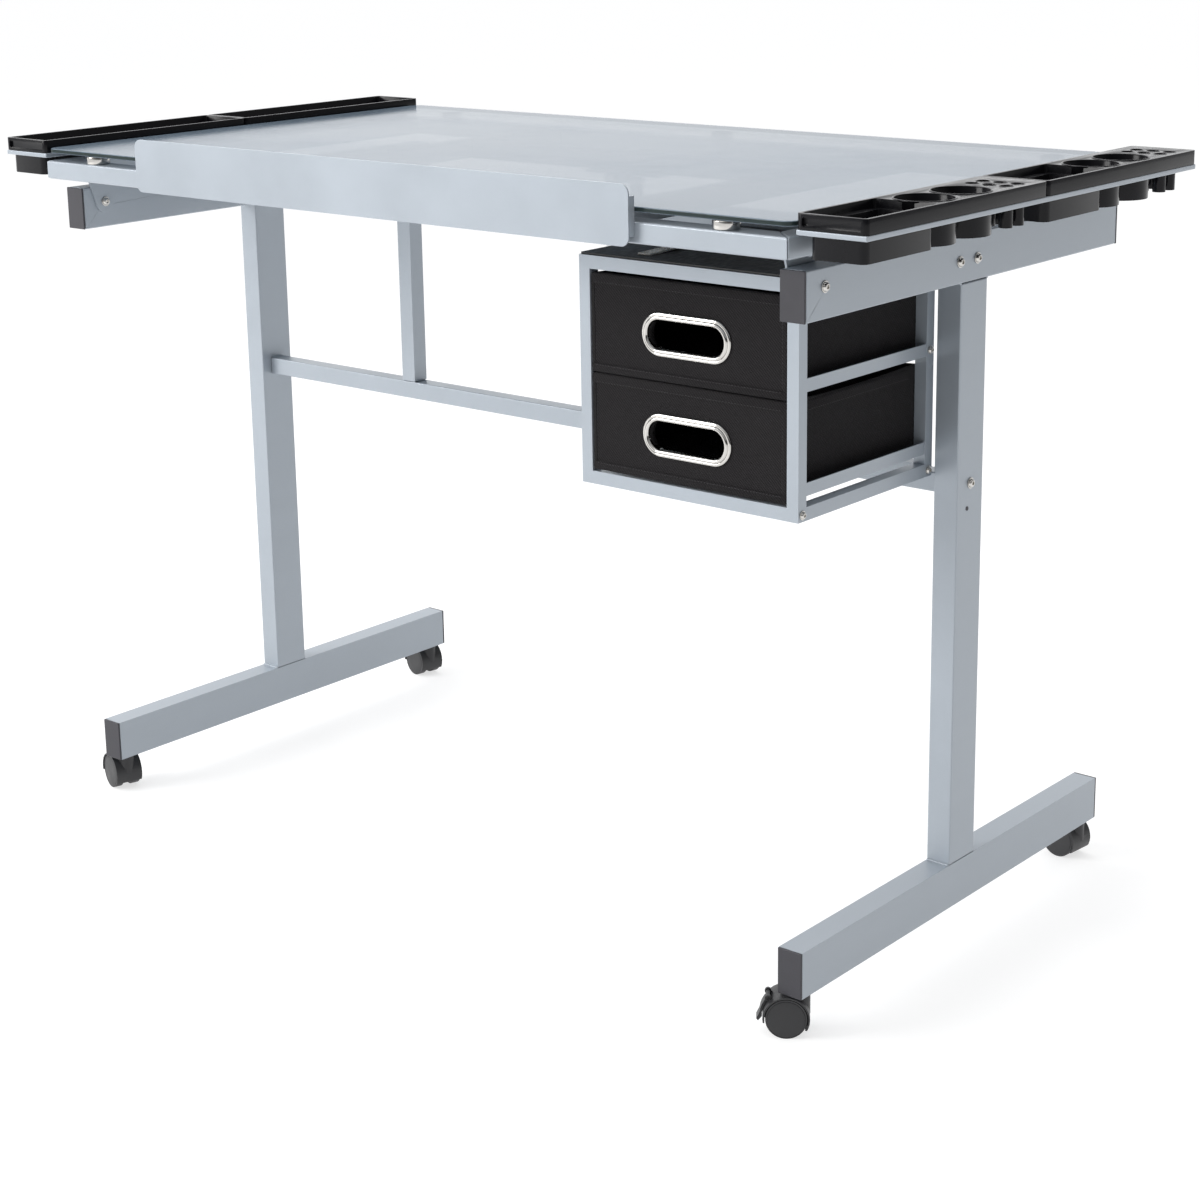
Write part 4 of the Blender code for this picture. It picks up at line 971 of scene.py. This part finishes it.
def rolled_bead(name, centre, radius, stretch, bead, rise):
    """A ring drawn out into an oval, which stands rise proud of the panel and is almost flat behind."""
    bpy.ops.object.select_all(action="DESELECT")
    bpy.ops.mesh.primitive_torus_add(
        major_radius=radius,
        minor_radius=bead,
        major_segments=GRIP_SIDES,
        minor_segments=20,
        rotation=(math.pi / 2, 0, 0),
        location=centre,
    )
    ring = settle(bpy.context.object, name)
    turn_about(ring, centre, math.pi / GRIP_SIDES)

    def draw_out(point):
        point.x += math.copysign(stretch, point.x - centre.x)
        lift = (point.y - centre.y) / bead
        point.y = centre.y + (rise if lift < 0 else GRIP_BACK) * lift
        return point

    move_points(ring, draw_out)
    return ring


def drawer_grip(level):
    """A rolled chrome ring on the panel, with its sleeve through the cloth."""
    node = f"drawer_grip_{level}"
    low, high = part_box(node)
    length, height = high.x - low.x, high.z - low.z
    face = low.y + 0.0036
    stretch = (length - height) / 2
    centre = Vector(((low.x + high.x) / 2, face, (low.z + high.z) / 2))
    beads = [
        rolled_bead(f"{node}_bead", centre, height / 2 - inset, stretch, bead, rise)
        for bead, inset, rise in GRIP_BEADS
    ]
    sleeve_height = height - 2 * GRIP_BAND + 0.0028
    sleeve_length = sleeve_height + 2 * stretch
    sleeve = oval(f"{node}_sleeve", sleeve_length, sleeve_height, centre, face - 0.001, high.y, 64)
    select_faces(sleeve, lambda point, normal: abs(normal.y) > 0.9)
    bpy.ops.mesh.delete(type="FACE")
    bpy.ops.object.mode_set(mode="OBJECT")
    apply_modifier(sleeve, "SOLIDIFY", thickness=GRIP_WALL, offset=-1.0)
    made = joined(f"{node}_chrome", [*beads, sleeve])
    smooth(made, 50.0)
    dress(made, chrome_finish())
    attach(made, f"drawer_{level}")
    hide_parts(node)


class TABLE_OT_drawers(bpy.types.Operator):
    """Two cloth-covered drawers with stitched hems"""

    bl_idname = "table.drawers"
    bl_label = "Cloth drawers"

    def execute(self, context):
        for level in LEVELS:
            cloth_drawer(level)
        return {"FINISHED"}


class TABLE_OT_grips(bpy.types.Operator):
    """The chromed oval grips of the drawers"""

    bl_idname = "table.grips"
    bl_label = "Drawer grips"

    def execute(self, context):
        for level in LEVELS:
            drawer_grip(level)
        return {"FINISHED"}


# ---- Bolts and welds ---------------------------------------------------------------
def bolt_pattern():
    """A button head with a hexagon socket on a washer, its foot at the origin and its top along +Z."""
    radius, height = sizes().bolt_radius, sizes().bolt_height
    head = new_rod("bolt_pattern", (0, 0, 0.0006), (0, 0, height), radius * 0.86, 32)
    select_faces(head, lambda centre, normal: normal.z > 0.9)
    bpy.ops.transform.resize(value=(0.72, 0.72, 1.0))
    bpy.ops.object.mode_set(mode="OBJECT")
    round_edges(head, radius * 0.16, 4)
    socket = new_rod("socket", (0, 0, height - 0.0019), (0, 0, height + 0.01), radius * 0.40, 6)
    cut_out(head, socket)
    washer = new_rod("washer", (0, 0, 0), (0, 0, 0.0008), radius, 32)
    select_faces(washer, lambda centre, normal: normal.z > 0.9)
    bpy.ops.mesh.inset(thickness=radius * 0.1)
    bpy.ops.object.mode_set(mode="OBJECT")
    round_edges(washer, 0.0002, 2)
    made = joined("bolt_pattern", [head, washer])
    smooth(made)
    return dress(made, chrome_finish())


def bolt_places():
    """Name, place, direction and size of each bolt head."""
    places = []
    for side_name, side in SIDES:
        out = side * (ARM_HIGH.x + STAND_OFF)
        for label, offset in (("cabinet", -0.0275), ("upper_bar", 0.0038)):
            place = (out, POST_Y + offset, ARM_HIGH.z - 0.0255)
            places.append((f"bolt_{label}_{side_name}", place, (side, 0, 0), 1.0))
        place = (out, POST_Y, (BAR_LOW.z + BAR_HIGH.z) / 2 + 0.0025)
        places.append((f"bolt_lower_bar_{side_name}", place, (side, 0, 0), 1.0))
    inset = 0.0065
    for label, y in (("front", CABINET_LOW.y + inset), ("rear", CABINET_HIGH.y - inset)):
        for level, z in (("low", CABINET_LOW.z + inset), ("middle", CABINET_LOW.z + 0.127)):
            name = f"bolt_cabinet_{label}_{level}"
            if (label, level) != ("front", "middle"):
                places.append((f"{name}_right", (CABINET_SIDES[1] + STAND_OFF, y, z), (1, 0, 0), 0.8))
            places.append((f"{name}_left", (CABINET_SIDES[0] - STAND_OFF, y, z), (-1, 0, 0), 0.8))
    return places


class TABLE_OT_bolts(bpy.types.Operator):
    """Button-head bolts on the arms, posts, cabinet and hinges, and the plugs in the posts"""

    bl_idname = "table.bolts"
    bl_label = "Bolts"

    def execute(self, context):
        pattern = bolt_pattern()
        for name, place, direction, size in bolt_places():
            matrix = Matrix.Translation(Vector(place)) @ facing(direction) @ Matrix.Scale(size, 4)
            bolt = copied(pattern, name, matrix)
            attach(bolt, "frame")
        for side_name, side in SIDES:
            hinge_bolt(pattern, side_name, side)
            post_plug(side_name, side)
        remove(pattern)
        return {"FINISHED"}


def hinge_bolt(pattern, side_name, side):
    """The pivot bolt: a head outside the arm, its shank, and the sleeve nut's like head inside the ear."""
    node = f"hinge_bolt_{side_name}"
    low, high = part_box(node)
    y, z = (low.y + high.y) / 2, (low.z + high.z) / 2
    outside = side * (ARM_HIGH.x + STAND_OFF)
    inside = low.x if side > 0 else high.x
    head = copied(pattern, "head", Matrix.Translation((outside, y, z)) @ facing((side, 0, 0)))
    shank = new_rod("shank", (outside, y, z), (inside + side * 0.0020, y, z), 0.0029, 24)
    inner_foot = inside + side * 0.0040
    sleeve = copied(pattern, "sleeve", Matrix.Translation((inner_foot, y, z)) @ facing((-side, 0, 0)))
    made = joined(f"{node}_set", [head, shank, sleeve])
    smooth(made)
    dress(made, chrome_finish())
    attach(made, "frame")
    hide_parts(node)


def post_plug(side_name, side):
    """A small black plug below the lower bar's bolt."""
    place = Vector((side * ARM_HIGH.x, POST_Y - 0.005, BAR_LOW.z - 0.0125))
    foot, top = place - Vector((side * 0.002, 0, 0)), place + Vector((side * 0.0006, 0, 0))
    plug = new_rod(f"post_plug_{side_name}", foot, top, 0.0022, 24)
    select_faces(plug, lambda centre, normal: normal.x * side > 0.9)
    bpy.ops.mesh.inset(thickness=0.0007)
    bpy.ops.transform.translate(value=(-side * 0.0003, 0, 0))
    bpy.ops.object.mode_set(mode="OBJECT")
    round_edges(plug, 0.0002, 2)
    smooth(plug)
    dress(plug, cap_finish())
    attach(plug, "frame")


def weld_bead(name, start, end, radius):
    """A row of overlapping ripples, half sunk in the corner that it fills."""
    start, end = Vector(start), Vector(end)
    count = max(3, int((end - start).length / (radius * 0.62)))
    step = (end - start) / count
    bpy.ops.object.select_all(action="DESELECT")
    bpy.ops.mesh.primitive_uv_sphere_add(segments=10, ring_count=6, radius=radius, location=start)
    made = settle(bpy.context.object, name)
    select_faces(made, lambda centre, normal: True)
    bpy.ops.transform.resize(value=(0.9, 0.9, 0.85), center_override=start)
    bpy.ops.object.mode_set(mode="OBJECT")
    repeat(made, count + 1, step)
    smooth(made, 60.0)
    dress(made, paint_finish())
    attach(made, "frame")


class TABLE_OT_welds(bpy.types.Operator):
    """Painted weld beads where the posts meet the feet and arms, and where the bars meet the posts"""

    bl_idname = "table.welds"
    bl_label = "Welds"

    def execute(self, context):
        radius = sizes().weld_radius
        inset = 0.002
        for side_name, side in SIDES:
            inner, outer = sorted((side * POST_LOW.x, side * POST_HIGH.x))
            for label, y in (("front", POST_LOW.y), ("rear", POST_HIGH.y)):
                for level, z in (("foot", FOOT_HIGH.z), ("arm", ARM_LOW.z)):
                    name = f"weld_{level}_{label}_{side_name}"
                    weld_bead(name, (inner + inset, y, z), (outer - inset, y, z), radius)
            x = side * BAR_HIGH.x
            for label, z in (("top", BAR_HIGH.z), ("bottom", BAR_LOW.z)):
                name = f"weld_bar_{label}_{side_name}"
                weld_bead(name, (x, BAR_LOW.y + 0.003, z), (x, BAR_HIGH.y - 0.003, z), radius * 0.7)
        return {"FINISHED"}


# ---- Castors -------------------------------------------------------------------------
def wheel_pattern():
    """A pair of wheels on their axle, which lies along +X through the origin."""
    near, far = (WHEEL_SPACING - WHEEL_WIDTH) / 2, (WHEEL_SPACING + WHEEL_WIDTH) / 2
    discs = []
    for side in (-1, 1):
        disc = new_rod("disc", (side * near, 0, 0), (side * far, 0, 0), WHEEL_RADIUS, 56)
        select_faces(disc, lambda centre, normal: normal.x * side > 0.9)
        for inset, push in WHEEL_STEPS:
            bpy.ops.mesh.inset(thickness=inset)
            bpy.ops.transform.translate(value=(side * push, 0, 0))
        bpy.ops.object.mode_set(mode="OBJECT")
        round_edges(disc, 0.0008, 3, 30.0)
        discs.append(disc)
    half = near + 0.001
    discs.append(new_rod("axle", (-half, 0, 0), (half, 0, 0), AXLE_RADIUS, 20))
    made = joined("wheel_pattern", discs)
    smooth(made)
    return dress(made, castor_finish())


class TABLE_OT_castors(bpy.types.Operator):
    """Twin-wheel castors: wheels with moulded faces, housings, stems and brake levers"""

    bl_idname = "table.castors"
    bl_label = "Castors"

    def execute(self, context):
        pattern = wheel_pattern()
        for place in CASTORS:
            joint = JOINTS[f"roll_{place}"]
            axis = Vector(joint["axis"])
            turn = axis.to_track_quat("X", "Z").to_matrix().to_4x4()
            matrix = Matrix.Translation(Vector(joint["pos_m"])) @ turn
            wheels = copied(pattern, f"castor_wheels_{place}_pair", matrix)
            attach(wheels, f"wheels_{place}")
            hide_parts(f"castor_wheels_{place}")
            soften_node(f"castor_housing_{place}", castor_finish(), 0.0004, 2, 40.0)
            stem_collar(place)
            if f"brake_lever_{place}" in NODES:
                soften_node(f"brake_lever_{place}", castor_finish(), 0.0003, 2, 40.0)
        remove(pattern)
        return {"FINISHED"}


def stem_collar(place):
    """The bright washer between a castor and its foot."""
    x, y, _ = JOINTS[f"swivel_{place}"]["pos_m"]
    top = FOOT_LOW.z - 0.0001
    collar = new_rod(f"castor_collar_{place}", (x, y, top - COLLAR_HEIGHT), (x, y, top), COLLAR_RADIUS, 32)
    select_faces(collar, lambda centre, normal: abs(normal.z) > 0.9)
    bpy.ops.mesh.inset(thickness=0.0012)
    bpy.ops.object.mode_set(mode="OBJECT")
    round_edges(collar, 0.0003, 2)
    smooth(collar)
    dress(collar, zinc_finish())
    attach(collar, "frame")


# ---- Strap --------------------------------------------------------------------------
class TABLE_OT_strap(bpy.types.Operator):
    """A cream webbing strap that lies over the cabinet's board"""

    bl_idname = "table.strap"
    bl_label = "Cabinet strap"

    def execute(self, context):
        x0, x1 = COVER_LOW.x + 0.0560, COVER_LOW.x + 0.0710
        y0, y1 = COVER_LOW.y + 0.018, COVER_LOW.y + 0.125
        base = COVER_HIGH.z
        strap = new_box("cabinet_strap", (x0, y0, base + STAND_OFF), (x1, y1, base + 0.0016))
        select_faces(strap, lambda centre, normal: True)
        bpy.ops.mesh.subdivide(number_cuts=16)
        bpy.ops.object.mode_set(mode="OBJECT")

        def wave(point):
            along = (point.y - y0) / (y1 - y0)
            point.z += 0.0016 * math.sin(math.pi * along) ** 2 * (0.6 + 0.4 * math.sin(7 * along))
            point.x += 0.0012 * math.sin(3.1 * along)
            return point

        move_points(strap, wave)
        round_edges(strap, 0.0003, 2, 50.0)
        smooth(strap, 50.0)
        dress(strap, cloth("strap_webbing", colours().strap))
        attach(strap, "frame")
        return {"FINISHED"}


# ---- Stage ----------------------------------------------------------------------------
def area_light(name, place, target, size, energy, colour):
    data = bpy.data.lights.new(name, "AREA")
    data.shape = "RECTANGLE"
    data.size = data.size_y = size
    data.energy = energy
    data.color = colour
    made = bpy.data.objects.new(name, data)
    bpy.context.scene.collection.objects.link(made)
    made.location = place
    made.rotation_euler = (Vector(target) - Vector(place)).to_track_quat("-Z", "Y").to_euler()


def studio_world():
    """White where the camera sees it. For light and reflections it is dim to the right and low ahead."""
    world = bpy.data.worlds.new("studio")
    world.use_nodes = True
    sky = NodeTree(world.node_tree)
    seen = sky.tree.nodes["Background"]
    seen.inputs["Color"].default_value = (1.0, 1.0, 1.0, 1.0)
    split = sky.node("ShaderNodeSeparateXYZ")
    sky.link(sky.node("ShaderNodeTexCoord").outputs["Generated"], split.inputs["Vector"])

    def ramp(axis, start, end, low, high):
        return sky.between(split.outputs[axis], low, high, start, end, "SMOOTHSTEP")

    over, under, ahead = (ramp(*stops) for stops in SKY_BAND)
    band = sky.maths("MULTIPLY", sky.maths("MULTIPLY", over, under), ahead)
    strength = sky.maths("MULTIPLY", ramp(*SKY_FALL), sky.maths("SUBTRACT", 1.0, band))
    lit = sky.node("ShaderNodeBackground")
    lit.inputs["Color"].default_value = SKY_COLOUR
    sky.link(strength, lit.inputs["Strength"])
    chooser = sky.node("ShaderNodeMixShader")
    sky.link(sky.node("ShaderNodeLightPath").outputs["Is Camera Ray"], chooser.inputs["Fac"])
    sky.link(lit.outputs["Background"], chooser.inputs[1])
    sky.link(seen.outputs["Background"], chooser.inputs[2])
    sky.link(chooser.outputs["Shader"], sky.tree.nodes["World Output"].inputs["Surface"])
    return world


def floor_surface():
    made = Surface("studio_floor", FLOOR_COLOUR, 0.95)
    cloud = made.noise(1.5, 3.0, 0.5)
    made.paint(made.mixed(cloud, scaled(FLOOR_COLOUR, 0.995), scaled(FLOOR_COLOUR, 1.005)))
    made.set("Emission Color", (1.0, 1.0, 1.0, 1.0))
    made.set("Emission Strength", FLOOR_GLOW)
    made.set("Specular IOR Level", 0.0)
    return made.material


def studio_camera():
    data = bpy.data.cameras.new("camera")
    data.sensor_width = 36.0
    data.lens = CAMERA_LENS
    data.shift_y = CAMERA_SHIFT
    data.clip_start = 0.05
    data.clip_end = 100.0
    camera = bpy.data.objects.new("camera", data)
    bpy.context.scene.collection.objects.link(camera)
    camera.location = CAMERA_PLACE
    azimuth, elevation, roll = map(math.radians, (CAMERA_AZIMUTH, CAMERA_ELEVATION, CAMERA_ROLL))
    aim = Euler((math.pi / 2 - elevation, 0, azimuth), "XYZ").to_matrix()
    camera.rotation_euler = (aim @ Matrix.Rotation(roll, 3, "Z")).to_euler()
    return camera


class TABLE_OT_stage(bpy.types.Operator):
    """Floor, soft studio light and the camera"""

    bl_idname = "table.stage"
    bl_label = "Studio"

    def execute(self, context):
        scene = bpy.context.scene
        bpy.ops.object.select_all(action="DESELECT")
        bpy.ops.mesh.primitive_plane_add(size=FLOOR_SIZE, location=(0, 0, 0))
        floor = settle(bpy.context.object, "studio_floor")
        dress(floor, floor_surface())
        scene.world = studio_world()
        for light in LIGHTS:
            area_light(*light)
        scene.view_settings.view_transform = "Standard"
        scene.view_settings.look = "None"
        scene.camera = studio_camera()
        return {"FINISHED"}


# ---- Sidebar --------------------------------------------------------------------------
OPERATORS = (
    TABLE_OT_stage,
    TABLE_OT_steel,
    TABLE_OT_caps,
    TABLE_OT_glass,
    TABLE_OT_trays,
    TABLE_OT_drawers,
    TABLE_OT_grips,
    TABLE_OT_bolts,
    TABLE_OT_welds,
    TABLE_OT_castors,
    TABLE_OT_strap,
)


class TABLE_PT_parts(bpy.types.Panel):
    """Lists the table's sizes, colours and pieces"""

    bl_idname = "TABLE_PT_parts"
    bl_label = "Craft table"
    bl_space_type = "VIEW_3D"
    bl_region_type = "UI"
    bl_category = "Craft table"

    def draw(self, context):
        for settings in (context.scene.table_sizes, context.scene.table_colours):
            column = self.layout.column(align=True)
            for name in settings.__annotations__:
                column.prop(settings, name)
        for operator in OPERATORS:
            self.layout.operator(operator.bl_idname)


CLASSES = (TableSizes, TableColours, *OPERATORS, TABLE_PT_parts)


def register():
    for cls in CLASSES:
        bpy.utils.register_class(cls)
    bpy.types.Scene.table_sizes = bpy.props.PointerProperty(type=TableSizes)
    bpy.types.Scene.table_colours = bpy.props.PointerProperty(type=TableColours)


def unregister():
    del bpy.types.Scene.table_colours
    del bpy.types.Scene.table_sizes
    for cls in reversed(CLASSES):
        bpy.utils.unregister_class(cls)


def main():
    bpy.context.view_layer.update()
    register()
    for operator in OPERATORS:
        group, name = operator.bl_idname.split(".")
        getattr(getattr(bpy.ops, group), name)()


if __name__ == "__main__":
    main()
